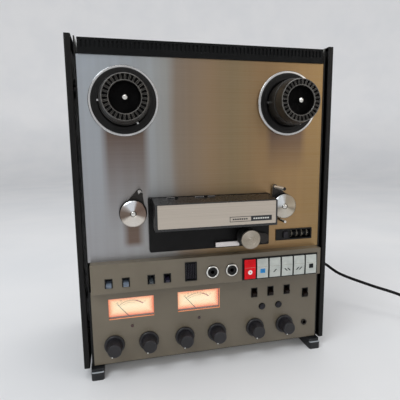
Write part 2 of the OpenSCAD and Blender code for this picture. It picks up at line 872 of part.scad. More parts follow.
module fasteners() {
    color(bright) {
        both_sides() {
            for (d = screw_d, h = screw_h) {
                bar(wall_out, case_w / 2, d, h, 2);
                bar(case_w / 2, case_w / 2 + 1.6, d, h, 4.5);
            }
            for (h = [20, 255, 490]) {
                rod(201, h, case_back, rear_d, 1.8);
                rod(201, h, rear_d, rear_d + 1.6, 3.8);
            }
        }
        for (x = [100, 180]) at(x, 135, 4.5) cylinder(h = 3, r = 4.5, $fn = 6);
        for (x = [-180, 50], d = [55, 190]) at(x, d, 15.6) cylinder(h = 2, r = 3);
    }
}

module meter(x, h) {
    glass_t = 1.2;
    shell_front = face_back + glass_t;
    color([0.8, 0.9, 0.95, 0.4]) block(x - 41, x + 41, face_back, shell_front, h - 21.5, h + 21.5);
    color(soft_black) difference() {
        block(x - 42, x + 42, shell_front, 34, h - 30, h + 22);
        block(x - 39.5, x + 39.5, shell_front - 1, 31, h - 27.5, h + 19.5);
    }
    color(dial_glow) difference() {
        block(x - 39, x + 39, 14, 31, h - 27, h + 19);
        rod(x, h - needle_drop, 13, 18, pivot_pin_r + 0.3);
    }
}

module vu_meters() {
    for (p = meter_at) meter(p[0], p[1]);
}

module needle(x, h) {
    color(black) swing(x, h - needle_drop, -needle_tilt) {
        block(x - 0.45, x + 0.45, 10, 10.8, h - needle_drop - 4, h - needle_drop + needle_len);
        rod(x, h - needle_drop, 9.5, 12, 2.5);
        rod(x, h - needle_drop, 11, 17, pivot_pin_r);
    }
}

module left_needle() {
    needle(meter_at[0][0], meter_at[0][1]);
}

module right_needle() {
    needle(meter_at[1][0], meter_at[1][1]);
}

module sockets() {
    for (p = mic_at) {
        color(bright) tube(p[0], p[1], strip_face - 2, strip_face, socket_ring_dia / 2, 6.8);
        color(black) difference() {
            union() {
                rod(p[0], p[1], strip_face - 1, 8, 6.6);
                rod(p[0], p[1], strip_back, 8, 9.5);
            }
            rod(p[0], p[1], strip_face - 2, 9, socket_dia / 2);
        }
    }
    color(steel) difference() {
        union() {
            rod(phones_at[0], phones_at[1], face_d - 1.5, face_d, 5.6);
            rod(phones_at[0], phones_at[1], face_d - 1, 20, 4.6);
            rod(phones_at[0], phones_at[1], face_back, 20, 7);
        }
        rod(phones_at[0], phones_at[1], face_d - 2, 21, socket_dia / 2);
    }
    color(bright) for (p = rca_at) difference() {
        union() {
            rod(p[0], p[1], case_back - 8, rear_d + 1, 4.6);
            rod(p[0], p[1], rear_d, rear_d + 1.2, 6.5);
            rod(p[0], p[1], rear_d + 1, rear_d + 10, rca_r);
        }
        rod(p[0], p[1], rear_d - 4, rear_d + 11, 3.1);
    }
}

// ---------- Control surrounds ----------

module button_bezel() {
    color(black) difference() {
        union() {
            block(bezel_x0 - bezel_lip, bezel_x1 + bezel_lip, strip_face - 1, strip_face,
                bezel_h0 - bezel_lip, bezel_h1 + bezel_lip);
            block(bezel_x0, bezel_x1, strip_face - 0.5, -4, bezel_h0, bezel_h1);
        }
        for (i = [0:5]) {
            x = button_x + i * button_pitch;
            block(x - button_w / 2 - bezel_in, x + button_w / 2 + bezel_in, strip_face - 2, -3,
                button_h - button_len / 2 - bezel_in, button_h + button_len / 2 + bezel_in);
        }
    }
}

module slide_surround(p) {
    color(black) difference() {
        union() {
            block(p[0] - slide_w / 2 - 0.6, p[0] + slide_w / 2 + 0.6, strip_face - 0.6, strip_face,
                p[1] - slide_tall / 2 - 0.6, p[1] + slide_tall / 2 + 0.6);
            block(p[0] - slide_w / 2, p[0] + slide_w / 2, strip_face, 0,
                p[1] - slide_tall / 2, p[1] + slide_tall / 2);
        }
        block(p[0] - slide_w / 2 + 0.8, p[0] + slide_w / 2 - 0.8, strip_face - 2, -1.5,
            p[1] - slide_tall / 2 + 0.8, p[1] + slide_tall / 2 - 0.8);
        bar(p[0] - slide_w / 2 + 0.3, p[0] + slide_w / 2 - 0.3, slide_axis, p[1], 1 + run);
    }
}

module rocker_surround() {
    x = rocker_at[0];
    h = rocker_at[1];
    color(black) difference() {
        union() {
            block(x - rocker_w / 2, x + rocker_w / 2, strip_face - 1, strip_face,
                h - rocker_tall / 2, h + rocker_tall / 2);
            block(x - rocker_w / 2 + 0.5, x + rocker_w / 2 - 0.5, strip_face, 2,
                h - rocker_tall / 2 + 0.5, h + rocker_tall / 2 - 0.5);
        }
        block(x - 8.5, x + 8.5, strip_face - 2, 0.5, h - 14.8, h + 14.8);
        bar(x - 9.5, x + 9.5, rocker_axis, h, 1.5 + run);
    }
}

module toggle_surround(p) {
    color(black) difference() {
        union() {
            block(p[0] - toggle_w / 2 - 0.5, p[0] + toggle_w / 2 + 0.5, face_d - 0.6, face_d,
                p[1] - toggle_tall / 2 - 0.5, p[1] + toggle_tall / 2 + 0.5);
            block(p[0] - toggle_w / 2, p[0] + toggle_w / 2, face_d, 14,
                p[1] - toggle_tall / 2, p[1] + toggle_tall / 2);
        }
        block(p[0] - toggle_w / 2 + 0.8, p[0] + toggle_w / 2 - 0.8, face_d - 2, 12.8,
            p[1] - toggle_tall / 2 + 0.8, p[1] + toggle_tall / 2 - 0.8);
        bar(p[0] - toggle_w / 2 + 0.3, p[0] + toggle_w / 2 - 0.3, toggle_axis, p[1], 1 + run);
    }
}

module counter_case() {
    x0 = counter_x - counter_w / 2;
    x1 = counter_x + counter_w / 2;
    h0 = counter_h - counter_tall / 2;
    h1 = counter_h + counter_tall / 2;
    color(black) difference() {
        union() {
            block(x0, x1, deck_d - 2, deck_d, h0, h1);
            block(x0 + 1.2, x1 - 1.2, deck_d, 30, h0 + 1.2, h1 - 1.2);
        }
        block(wheel_x0 - 1, wheel_x1 + 0.5, deck_d - 3, 27, counter_h - 8, counter_h + 8);
        block(reset_x - 4.5, reset_x + 4.5, deck_d - 3, 31, counter_h - 6, counter_h + 6);
        bar(wheel_x0 - 2.4, wheel_x1 + 0.9, wheel_d, counter_h, 1 + run);
    }
}

module panel_trims() {
    button_bezel();
    for (p = slide_at) slide_surround(p);
    rocker_surround();
    for (p = toggle_at) toggle_surround(p);
    for (p = mode_at) color(black) {
        tube(p[0], p[1], face_d - 1, face_d, mode_r + 1.3, mode_r + 0.2);
        tube(p[0], p[1], face_d, 10, mode_r + 0.8, mode_r + 0.2);
    }
    for (p = lamp_at) color(red) rod(p[0], p[1], face_d - 0.5, 8, 2.5);
    counter_case();
}

// ---------- Controls ----------

// Transport button number i, with the plunger behind it
module transport_button(i, tint) {
    x = button_x + i * button_pitch;
    half = button_w / 2;
    front = strip_face - 4.5;
    crease_h = button_h + 2.6;
    color(tint) difference() {
        union() {
            plate(x - half, x + half, button_h - button_len / 2, button_h + button_len / 2, front, -8, 1.2);
            block(x - 4, x + 4, -9, 6, button_h - 6, button_h + 6);
        }
        block(x - half - 1, x + half + 1, front - 1, front + 0.5, crease_h, crease_h + 0.6);
    }
}

module record_button() { transport_button(0, red); }
module pause_button() { transport_button(1, button_white); }
module play_button() { transport_button(2, button_white); }
module rewind_button() { transport_button(3, button_white); }
module forward_button() { transport_button(4, button_white); }
module stop_button() { transport_button(5, button_white); }

module power_rocker() {
    x = rocker_at[0];
    h = rocker_at[1];
    color(soft_black) tip(rocker_axis, h, rocker_tilt) {
        across(x - 8.2, x + 8.2) translate([rocker_axis, h])
            polygon([[-8, 13], [-6.8, 0], [-8, -13], [-1, -13], [4, 0], [-1, 13]]);
        bar(x - 9.3, x + 9.3, rocker_axis, h, 1.5);
    }
}

// Paddle of slide switch number i, standing in its lower position
module paddle(i) {
    p = slide_at[i];
    color(button_white) tip(slide_axis, p[1], -slide_tilt) {
        block(p[0] - slide_wide[i], p[0] + slide_wide[i], slide_axis - lever_reach, slide_axis,
            p[1] - 2.2, p[1] + 2.2);
        bar(p[0] - slide_w / 2 + 0.5, p[0] + slide_w / 2 - 0.5, slide_axis, p[1], 1);
    }
}

module speed_switch() { paddle(0); }
module reel_size_switch() { paddle(1); }
module bias_switch() { paddle(2); }
module equalizer_switch() { paddle(3); }

// Lever of toggle number i, standing in its lower position
module toggle(i) {
    p = toggle_at[i];
    color(soft_black) tip(toggle_axis, p[1], -toggle_tilt) {
        block(p[0] - 4.2, p[0] + 4.2, toggle_axis - lever_reach, toggle_axis, p[1] - 3, p[1] + 3);
        bar(p[0] - toggle_w / 2 + 0.5, p[0] + toggle_w / 2 - 0.5, toggle_axis, p[1], 1);
    }
}

module monitor_left_toggle() { toggle(0); }
module monitor_right_toggle() { toggle(1); }
module output_toggle() { toggle(2); }
module memory_toggle() { toggle(3); }

module mode_button(i) {
    color(soft_black) rod(mode_at[i][0], mode_at[i][1], -0.4, 14, mode_r);
}

module record_mode_left() { mode_button(0); }
module record_mode_right() { mode_button(1); }

module level_knob(i) {
    x = knob_x[i];
    skirt_front = -3;
    cap_r = knob_cap_dia / 2;
    color(soft_black) {
        rod(x, knob_h, skirt_front, face_d - 0.4, knob_skirt_dia / 2);
        taper(x, knob_h, -knob_front, skirt_front + 0.5, cap_r - 1, cap_r);
        rod(x, knob_h, 0, 16, 3);
        swing(x, knob_h, knob_rest)
            block(x - 0.8, x + 0.8, -knob_front - 0.3, -4, knob_h + cap_r - 5, knob_h + cap_r);
    }
}

module mic_left_knob() { level_knob(0); }
module mic_right_knob() { level_knob(1); }
module line_left_knob() { level_knob(2); }
module line_right_knob() { level_knob(3); }
module output_left_knob() { level_knob(4); }
module output_right_knob() { level_knob(5); }

module counter_wheels() {
    count = 4;
    pitch = (wheel_x1 - wheel_x0) / count;
    color(cream) {
        for (i = [0:count - 1])
            bar(wheel_x0 + i * pitch, wheel_x0 + (i + 1) * pitch - 1, wheel_d, counter_h, wheel_r);
        bar(wheel_x0 - 2, wheel_x1 + 0.5, wheel_d, counter_h, 1);
    }
}

module counter_reset() {
    color(soft_black) plate(reset_x - 4, reset_x + 4, counter_h - 5.3, counter_h + 5.3, 1.5, 18, 1);
}

chassis_frame();
side_panels();
top_grille();
rear_cover();
deck_plate();
transport_panel();
electronics_panel();
foot_rails();
head_base();
tape_heads();
drive_motors();
power_transformer();
amplifier_board();
power_cord();
fasteners();
vu_meters();
sockets();
panel_trims();
drive_belt();
supply_reel_table();
takeup_reel_table();
supply_hub_adaptor();
takeup_hub_adaptor();
supply_tension_arm();
takeup_tension_arm();
supply_roller();
takeup_roller();
head_cover();
capstan();
motor_pulley();
pinch_arm();
pinch_roller();
cue_lever();
record_button();
pause_button();
play_button();
rewind_button();
forward_button();
stop_button();
power_rocker();
speed_switch();
reel_size_switch();
bias_switch();
equalizer_switch();
monitor_left_toggle();
monitor_right_toggle();
output_toggle();
memory_toggle();
record_mode_left();
record_mode_right();
mic_left_knob();
mic_right_knob();
line_left_knob();
line_right_knob();
output_left_knob();
output_right_knob();
left_needle();
right_needle();
counter_wheels();
counter_reset();
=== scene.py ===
"""Looks of an open-reel tape deck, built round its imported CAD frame.

Lengths are in millimetres until a mesh is made.
"""
import math

import bmesh
import bpy
from mathutils import Matrix, Vector


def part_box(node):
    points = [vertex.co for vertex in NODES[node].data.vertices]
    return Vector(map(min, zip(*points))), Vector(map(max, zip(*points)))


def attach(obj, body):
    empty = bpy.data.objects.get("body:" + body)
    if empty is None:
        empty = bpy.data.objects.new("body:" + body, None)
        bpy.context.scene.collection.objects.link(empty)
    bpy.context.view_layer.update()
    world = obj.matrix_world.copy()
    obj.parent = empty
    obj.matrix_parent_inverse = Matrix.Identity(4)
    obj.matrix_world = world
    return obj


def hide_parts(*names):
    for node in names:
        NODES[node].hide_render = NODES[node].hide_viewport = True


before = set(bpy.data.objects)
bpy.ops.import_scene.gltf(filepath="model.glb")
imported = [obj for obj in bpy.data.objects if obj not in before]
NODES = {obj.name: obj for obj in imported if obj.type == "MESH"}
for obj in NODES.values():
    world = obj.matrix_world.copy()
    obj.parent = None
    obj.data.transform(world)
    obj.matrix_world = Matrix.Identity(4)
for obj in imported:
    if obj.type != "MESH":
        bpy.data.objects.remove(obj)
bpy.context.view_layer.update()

MM = 0.001


def box(name):
    """Lowest and highest corner of a CAD node, in millimetres."""
    lo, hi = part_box(name)
    return lo / MM, hi / MM


def middle(name):
    lo, hi = box(name)
    return (lo + hi) / 2


# The case's front plane and underside. A place is x, the depth behind the front and the height above
# the base. REAR is the depth of the rear cover's outer face.
FRONT = box("side_panels")[0].y
BASE = box("side_panels")[0].z
REAR = 216


def spot(x, depth, height):
    return Vector((x, FRONT + depth, BASE + height))


# ---------------------------------------------------------------- materials

def rgb(code):
    """Linear colour of an sRGB hex code."""
    parts = [int(code[i:i + 2], 16) / 255 for i in (0, 2, 4)]
    return tuple(p / 12.92 if p <= 0.04045 else ((p + 0.055) / 1.055) ** 2.4 for p in parts) + (1.0,)


def plug(tree, socket, value):
    if isinstance(value, bpy.types.NodeSocket):
        tree.links.new(value, socket)
    else:
        socket.default_value = value


def node(tree, kind, values=(), out=0, **settings):
    """One output of a new shader node, whose inputs are given as (name or number, value) pairs."""
    made = tree.nodes.new("ShaderNode" + kind)
    for key, value in settings.items():
        setattr(made, key, value)
    for key, value in values:
        plug(tree, made.inputs[key], value)
    return made.outputs[out]


def maths(tree, operation, a, b=0.0):
    return node(tree, "Math", [(0, a), (1, b)], operation=operation)


def mix(tree, share, a, b):
    return node(tree, "Mix", [(0, share), (6, a), (7, b)], 2, data_type="RGBA")


def spread(tree, value, low, high, start=0.35, end=0.65):
    """Maps a value between start and end to the range from low to high."""
    return node(tree, "MapRange", [(0, value), (1, start), (2, end), (3, low), (4, high)])


def ramp(tree, value, stops):
    """Colour picked by a value from (position, sRGB code) stops."""
    made = tree.nodes.new("ShaderNodeValToRGB")
    plug(tree, made.inputs[0], value)
    ends = made.color_ramp.elements
    for end, (position, code) in zip((ends[0], ends[1]), (stops[0], stops[-1])):
        end.position, end.color = position, rgb(code)
    for position, code in stops[1:-1]:
        ends.new(position).color = rgb(code)
    return made.outputs[0]


def within(tree, value, low, high, soft):
    """1 between two limits and 0 outside them, with soft borders. Lengths in metres."""
    rise = spread(tree, value, 0, 1, low - soft, low + soft)
    fall = spread(tree, value, 1, 0, high - soft, high + soft)
    return maths(tree, "MULTIPLY", rise, fall)


def place(tree, stretch=(1, 1, 1)):
    """Object coordinates in metres, multiplied by stretch."""
    where = node(tree, "TexCoord", out="Object")
    return node(tree, "VectorMath", [(0, where), (1, stretch)], operation="MULTIPLY")


def axes(tree, where):
    """The three parts of a place."""
    parts = tree.nodes.new("ShaderNodeSeparateXYZ")
    plug(tree, parts.inputs[0], where)
    return parts.outputs


def noise(tree, where, scale, detail=3.0):
    return node(tree, "TexNoise", [("Vector", where), ("Scale", scale), ("Detail", detail)])


def worn_edge(tree):
    """1 on sharp edges and corners, and 0 on flat faces."""
    rounded = node(tree, "Bevel", [("Radius", 0.0007)], samples=4)
    true = node(tree, "NewGeometry", out="Normal")
    alike = node(tree, "VectorMath", [(0, rounded), (1, true)], "Value", operation="DOT_PRODUCT")
    return spread(tree, alike, 1.0, 0.0, 0.86, 0.985)


def new_material(name):
    material = bpy.data.materials.new(name)
    material.use_nodes = True
    tree = material.node_tree
    return material, tree, tree.nodes["Principled BSDF"]


def bump(tree, shader, height, strength, reach=0.0002):
    made = node(tree, "Bump", [("Strength", strength), ("Distance", reach), ("Height", height)])
    plug(tree, shader.inputs["Normal"], made)


def plastic(name, dark, light, rough=0.42, grain=60, pebble=2600, relief=0.12, edge=None, coat=0.0,
            shine=0.5):
    """Moulded plastic, paint or rubber: a soft mottle, a fine pebble and, with an edge colour, edges
    lightened partly as wear and partly as a painted highlight.
    """
    material, tree, shader = new_material(name)
    where = place(tree)
    mottle = noise(tree, where, grain, 5)
    colour = mix(tree, spread(tree, mottle, 0, 1), rgb(dark), rgb(light))
    if edge:
        # Edge colour: partly wear, partly a painted highlight on the edges
        patchy_wear_and_sheen = maths(tree, "MULTIPLY", worn_edge(tree), spread(tree, mottle, 0.3, 0.9))
        colour = mix(tree, patchy_wear_and_sheen, colour, rgb(edge))
    plug(tree, shader.inputs["Base Color"], colour)
    fine = noise(tree, where, pebble, 2)
    uneven = noise(tree, where, grain * 4)
    plug(tree, shader.inputs["Roughness"], spread(tree, uneven, rough * 0.86, rough * 1.16))
    shader.inputs["Coat Weight"].default_value = coat
    shader.inputs["Coat Roughness"].default_value = 0.2
    shader.inputs["Specular IOR Level"].default_value = shine
    bump(tree, shader, fine, relief)
    return material


def metal(name, dark, light, rough=0.3, along=(1, 1, 1), lines=900, relief=0.15, grime=None,
          metallic=1.0):
    """Machined or brushed metal: grain lines stretched by along, uneven roughness and a little grime."""
    material, tree, shader = new_material(name)
    brushed = noise(tree, place(tree, along), lines, 4)
    cloudy = noise(tree, place(tree), 35, 4)
    colour = mix(tree, spread(tree, brushed, 0, 1, 0.3, 0.7), rgb(dark), rgb(light))
    if grime:
        colour = mix(tree, spread(tree, cloudy, 0.0, 0.45, 0.52, 0.75), colour, rgb(grime))
    plug(tree, shader.inputs["Base Color"], colour)
    shader.inputs["Metallic"].default_value = metallic
    streaks = spread(tree, brushed, rough * 0.85, rough * 1.1, 0.3, 0.7)
    plug(tree, shader.inputs["Roughness"], maths(tree, "ADD", streaks, spread(tree, cloudy, -0.03, 0.05)))
    bump(tree, shader, brushed, relief, 0.00005)
    return material


def spun_metal(name, axis, painted_wedges, rough=0.26):
    """Face turned on a lathe about an axis along Y: fine rings, and wedges of painted sheen, the room
    mirrored in it.

    A wedge is (degrees clockwise from upright, sRGB code).
    """
    material, tree, shader = new_material(name)
    centre = (axis.x * MM, 0, axis.z * MM)
    where = node(tree, "VectorMath", [(0, place(tree)), (1, centre)], operation="SUBTRACT")
    flat = node(tree, "VectorMath", [(0, where), (1, (1, 0, 1))], operation="MULTIPLY")
    radius = node(tree, "VectorMath", [(0, flat)], "Value", operation="LENGTH")
    rings = node(tree, "TexNoise", [("W", radius), ("Scale", 5200), ("Detail", 2)], noise_dimensions="1D")
    across, _, up = axes(tree, where)
    angle = maths(tree, "ARCTAN2", across, up)
    share = spread(tree, angle, 0, 1, -math.pi, math.pi)
    share = maths(tree, "ADD", share, spread(tree, rings, -0.012, 0.012))
    # Painted reflection: wedges of light and dark round the axis
    colour = ramp(tree, share, [((degrees + 180) / 360, code) for degrees, code in painted_wedges])
    colour = mix(tree, spread(tree, rings, 0.0, 0.3), colour, rgb("4a443e"))
    plug(tree, shader.inputs["Base Color"], colour)
    shader.inputs["Metallic"].default_value = 1.0
    plug(tree, shader.inputs["Roughness"], spread(tree, rings, rough * 0.8, rough * 1.3))
    shader.inputs["Anisotropic"].default_value = 0.5
    plug(tree, shader.inputs["Tangent"], node(tree, "Tangent", direction_type="RADIAL", axis="Y"))
    bump(tree, shader, rings, 0.12, 0.00005)
    return material


# Painted reflection of the room: deck colours from its cool left to its warm right, near the top and low
# down
DECK_REFLECTED_TINTS = ((0.0, "b3bac1"), (0.12, "b8bfc5"), (0.28, "b2b6b7"), (0.335, "abaaa6"), (0.375, "958575"),
              (0.5, "9f8465"), (0.6, "95805f"), (0.72, "9e7f59"), (0.85, "a08056"), (1.0, "957a50"))
DECK_LOW_REFLECTED_TINTS = ((0.0, "a4a4a7"), (0.12, "a6a6a8"), (0.28, "a2a2a2"), (0.335, "9c9a97"),
                  (0.375, "928271"), (0.5, "9a8060"), (0.6, "927c5a"), (0.72, "9b7d57"), (0.85, "a08056"),
                  (1.0, "957a50"))
# Painted reflections of dark parts in the deck: a node, and its band's half width, start and end below the
# node's middle
MIRRORED = (("supply_reel_table", 33, 30, 210),
            ("supply_roller", 13, 10, 60),
            ("takeup_reel_table", 33, 30, 120))


def deck_steel():
    """Brushed plate with painted reflections: its colour runs from the cool side of a room to its warm side,
    darkens below mirrored dark parts and shows upright streaks of the room.
    """
    material, tree, shader = new_material("deck_steel_painted_reflection")
    x, _, z = axes(tree, place(tree))
    lo, hi = box("deck_plate")
    across = spread(tree, x, 0.0, 1.0, lo.x * MM, hi.x * MM)
    waver = noise(tree, place(tree, (9, 1, 0.7)), 3.0, 2)
    across = maths(tree, "ADD", across, spread(tree, waver, -0.012, 0.012))
    raised = spread(tree, z, 0, 1, (BASE + 220) * MM, (BASE + 500) * MM)
    colour = mix(tree, raised, ramp(tree, across, DECK_LOW_REFLECTED_TINTS), ramp(tree, across, DECK_REFLECTED_TINTS))
    # Painted reflection: a darker warm band on the plate below each dark part
    for name, width, start, end in MIRRORED:
        axis = middle(name)
        below = within(tree, x, (axis.x - width) * MM, (axis.x + width) * MM, 0.006)
        fading = spread(tree, z, 0, 0.95, (axis.z - end) * MM, (axis.z - 50) * MM)
        clear = spread(tree, z, 1, 0, (axis.z - start) * MM, (axis.z - start + 8) * MM)
        share = maths(tree, "MULTIPLY", below, maths(tree, "MULTIPLY", fading, clear))
        colour = mix(tree, share, colour, rgb("6a5448"))
    # Painted reflection: upright streaks of the room smeared by the brushing
    reflected_bands = noise(tree, place(tree, (60, 1, 0.6)), 1.4, 3)
    colour = mix(tree, spread(tree, reflected_bands, 0.0, 0.1), colour, rgb("6f5d4c"))
    brushed = noise(tree, place(tree, (6, 40, 4200)), 1.0, 3)
    colour = mix(tree, spread(tree, brushed, 0.0, 0.1, 0.3, 0.7), colour, rgb("d9d4c8"))
    plug(tree, shader.inputs["Base Color"], colour)
    shader.inputs["Metallic"].default_value = 1.0
    plug(tree, shader.inputs["Roughness"], spread(tree, brushed, 0.3, 0.38, 0.3, 0.7))
    shader.inputs["Anisotropic"].default_value = 0.75
    plug(tree, shader.inputs["Tangent"], node(tree, "CombineXYZ", [(2, 1.0)]))
    bump(tree, shader, brushed, 0.1, 0.00005)
    return material


def glow(name, colour, strength):
    """Plastic that gives off light: a dial lit from behind by its lamp, or a painted glow on the walls
    beside it.
    """
    material, tree, shader = new_material(name)
    plug(tree, shader.inputs["Base Color"], mix(tree, 0.75, colour(tree), rgb("201008")))
    plug(tree, shader.inputs["Emission Color"], colour(tree))
    shader.inputs["Emission Strength"].default_value = strength
    plug(tree, shader.inputs["Roughness"], spread(tree, noise(tree, place(tree), 60, 2), 0.5, 0.7))
    return material


def dial_colour(tree):
    """Pale yellow in the middle of the dial and orange towards its edges."""
    parts = axes(tree, node(tree, "TexCoord", out="Generated"))
    glow_depth = 16
    gaps = []
    for axis, size, centre in ((0, 78, 0.5), (2, 38, 0.455)):
        off = maths(tree, "ABSOLUTE", maths(tree, "SUBTRACT", parts[axis], centre))
        gaps.append(maths(tree, "MULTIPLY", maths(tree, "SUBTRACT", centre, off), size / glow_depth))
    gap = maths(tree, "MINIMUM", *gaps)
    gap = maths(tree, "ADD", gap, spread(tree, noise(tree, place(tree), 60, 2), -0.03, 0.03))
    stops = ((0.04, "f4683c"), (0.17, "fb966a"), (0.32, "fcbd8c"), (0.52, "fedcac"), (1.0, "ffecc4"))
    return ramp(tree, gap, stops)


# Orange of the painted glow on the meter's walls
def wall_colour(tree):
    return mix(tree, spread(tree, noise(tree, place(tree), 90, 2), 0, 1), rgb("f08a5c"), rgb("f8a274"))


def dim_across(material, name, least):
    """Painted shade: lets a material's colour fall off from the left to the right of a CAD node."""
    tree = material.node_tree
    colour = tree.nodes["Principled BSDF"].inputs["Base Color"]
    full = colour.links[0].from_socket
    lo, hi = box(name)
    share = spread(tree, axes(tree, place(tree))[0], 0, 1, lo.x * MM, hi.x * MM)
    shaded = node(tree, "HueSaturation", [("Value", least), ("Color", full)])
    plug(tree, colour, mix(tree, share, full, shaded))


def window_glass():
    """Clear meter window with faint smears."""
    material, tree, shader = new_material("window_glass")
    smear = noise(tree, place(tree, (1, 1, 3)), 40, 3)
    plug(tree, shader.inputs["Base Color"], mix(tree, smear, rgb("f4eee6"), rgb("ffffff")))
    plug(tree, shader.inputs["Roughness"], spread(tree, smear, 0.04, 0.14))
    shader.inputs["Alpha"].default_value = 0.12
    shader.inputs["Specular IOR Level"].default_value = 0.6
    return material


CABINET = plastic("cabinet_satin_black", "0a0909", "100f0e", 0.42, 18, 1900, 0.1, edge="302e2c",
                  shine=0.22)
GRILLE = plastic("grille_black", "060708", "0b0c0d", 0.5, 40, 2400, 0.1, edge="1e2123", shine=0.15)
COVER = plastic("rear_crinkle_black", "161617", "232324", 0.62, 50, 700, 0.5)
BASE_BLACK = plastic("base_black", "080707", "0e0d0d", 0.45, 45, 2600, 0.12, edge="2a2827", shine=0.2)
HOUSING = plastic("head_cover_black", "0b0c0d", "121315", 0.3, 40, 2600, 0.06, edge="3c4043", shine=0.7)
FOOT = plastic("foot_black", "0e1013", "17191d", 0.45, 60, 2200, 0.18, edge="3d4248")
TRIM = plastic("trim_black", "0a0a0a", "121212", 0.42, 90, 3000, 0.1, edge="2c2c2c", shine=0.25)
KEY_WELL = plastic("well_black", "060606", "0b0b0b", 0.55, 90, 3000, 0.1, shine=0.2)
HUB = plastic("hub_grey_black", "191714", "26231f", 0.34, 55, 2600, 0.12, edge="a8a298", shine=0.35)
MAT = plastic("table_mat_rubber", "0a0908", "110f0e", 0.5, 80, 1800, 0.2, shine=0.3)
RUBBER = plastic("drive_rubber", "161514", "201f1d", 0.7, 90, 2500, 0.3)
CORD = plastic("cord_black", "080706", "0f0d0c", 0.5, 60, 2200, 0.12, shine=0.15)
KNOB = plastic("knob_black", "141315", "1e1c20", 0.4, 70, 2600, 0.14, edge="4a474f")
SWITCH = plastic("switch_black", "0f0d12", "1a171f", 0.36, 110, 3000, 0.1, edge="3c3846", shine=0.35)
# Near black with a brown tinge: painted reflection of the warm room in the toggle levers
LEVER_BROWN_SHEEN = plastic("toggle_lever_brown_sheen", "100906", "180e09", 0.4, 110, 3000, 0.1, edge="2a1c14",
                      shine=0.15)
PADDLE_PALE = plastic("paddle_pale_blue", "5c6674", "737e8c", 0.3, 90, 2600, 0.08, edge="a9b2bd")
PADDLE_GREY = plastic("paddle_mid_grey", "33383c", "4a5055", 0.3, 90, 2600, 0.08, edge="8a9096")
PADDLE_DARK = plastic("paddle_dark_violet", "1d1a28", "2a2638", 0.3, 90, 2600, 0.08, edge="55516a")
BUTTON_RED = plastic("button_red", "d00310", "e60a1c", 0.45, 90, 2600, 0.06, edge="f25a62", shine=0.2)
BUTTON_PALE = plastic("button_pale", "b6bbb6", "c4c8c2", 0.45, 90, 2600, 0.06, edge="dde1dc", shine=0.3)
INK_BLACK = plastic("ink_black", "0c1013", "14181a", 0.5, 200, 4000, 0.05, shine=0.2)
INK_BLUE = plastic("ink_blue", "2384c4", "2e90d0", 0.45, 200, 4000, 0.05, shine=0.2)
INK_DEEP_BLUE = plastic("ink_deep_blue", "1c6cae", "2478ba", 0.45, 200, 4000, 0.05)
INK_WHITE = plastic("ink_white", "f0e4e2", "faf4f2", 0.45, 200, 4000, 0.05)
INK_RED = plastic("ink_red", "b42838", "c43444", 0.5, 200, 4000, 0.05)
INK_BROWN = plastic("ink_brown", "6a3c28", "7c4a34", 0.5, 200, 4000, 0.05)
INK_FAINT = plastic("ink_faint", "8d8676", "9a9383", 0.5, 200, 4000, 0.05)
BADGE_BLACK = plastic("badge_black", "15181b", "1e2226", 0.35, 160, 3000, 0.06)
DIGIT_WHITE = plastic("digit_white", "cfd0ca", "e2e2dc", 0.45, 160, 3000, 0.06)
INSULATOR_RED = plastic("insulator_red", "8e1c1c", "a42626", 0.4, 120, 2600, 0.1)
INSULATOR_WHITE = plastic("insulator_white", "c6c3ba", "d8d5cc", 0.4, 120, 2600, 0.1)
# Lighter, glossier copy of the hub's plastic on its rims: partly gloss, partly a painted highlight
HUB_EDGE_SHEEN = plastic("hub_glossy_edge_painted_highlight", "3c3934", "4c4842", 0.18, 55, 2600, 0.05, shine=0.9, coat=0.4)
PIN_METAL = metal("guide_pin_polished", "dedcd8", "f0eeea", 0.2, (1, 60, 1), 120, 0.05, None, 0.7)
# Pale grey painted on the feet's black ledge for the room's sheen on it
FOOT_LEDGE_SHEEN = plastic("foot_ledge_painted_sheen", "a9afb4", "c0c5c9", 0.4, 60, 2200, 0.1)
# Near black for painted shade in holes, grooves and recesses
SHADE_BLACK = plastic("recess_shade_black", "030303", "070606", 0.7, 90, 3000, 0.1, shine=0.08)
LAMP_RED = plastic("lamp_lens_red", "2a0d0b", "431512", 0.18, 120, 2600, 0.04, coat=0.6)
BOARD = plastic("circuit_board", "1d4630", "2a5a3c", 0.35, 160, 1200, 0.2, coat=0.3)
CAN = plastic("capacitor_sleeve", "1c2a44", "26385a", 0.3, 120, 2600, 0.06)
SHELL = plastic("meter_shell", "191919", "242424", 0.5, 80, 2600, 0.1)
BRONZE = plastic("panel_bronze_paint", "6b6252", "766d5d", 0.34, 9, 3600, 0.1, edge="8d8472", coat=0.08)
# Painted shade: the bronze panel darkens towards its right
dim_across(BRONZE, "electronics_panel", 0.8)
PLATE_CREAM = metal("cover_plate_champagne", "b8ada0", "cfc5b8", 0.36, (3, 40, 3600), 1.0, 0.12, None,
                    0.75)
ZINC = metal("zinc_sheet", "9a9b95", "b3b4ad", 0.42, (1, 1, 1), 70, 0.1, "7d7c74")
STEEL = metal("turned_steel", "a19e98", "c2bfb9", 0.28, (1, 60, 1), 120, 0.12, "807a70")
CHROME = metal("bright_chrome", "d4d2cc", "e6e4de", 0.14, (1, 1, 1), 160, 0.05, "a8a49c")
LEVER_METAL = metal("cue_bar_aluminium", "d0cac6", "e4dedb", 0.3, (60, 60, 2500), 1.0, 0.12)
ARM_METAL = metal("arm_dark_steel", "2e2c2a", "454240", 0.32, (1, 1, 40), 90, 0.12, "262422")
COPPER = metal("winding_copper", "8c4f2b", "b26a3e", 0.35, (1, 1, 1), 900, 0.4, "5f351d")
SCREW = metal("screw_steel", "8d8c88", "adaca7", 0.26, (1, 1, 1), 300, 0.1, "5f5d58")
TABLE_METAL = metal("table_rim_aluminium", "c3c3c3", "dddcda", 0.22, (1, 90, 1), 60, 0.08, "9d9a94")
GLASS = window_glass()
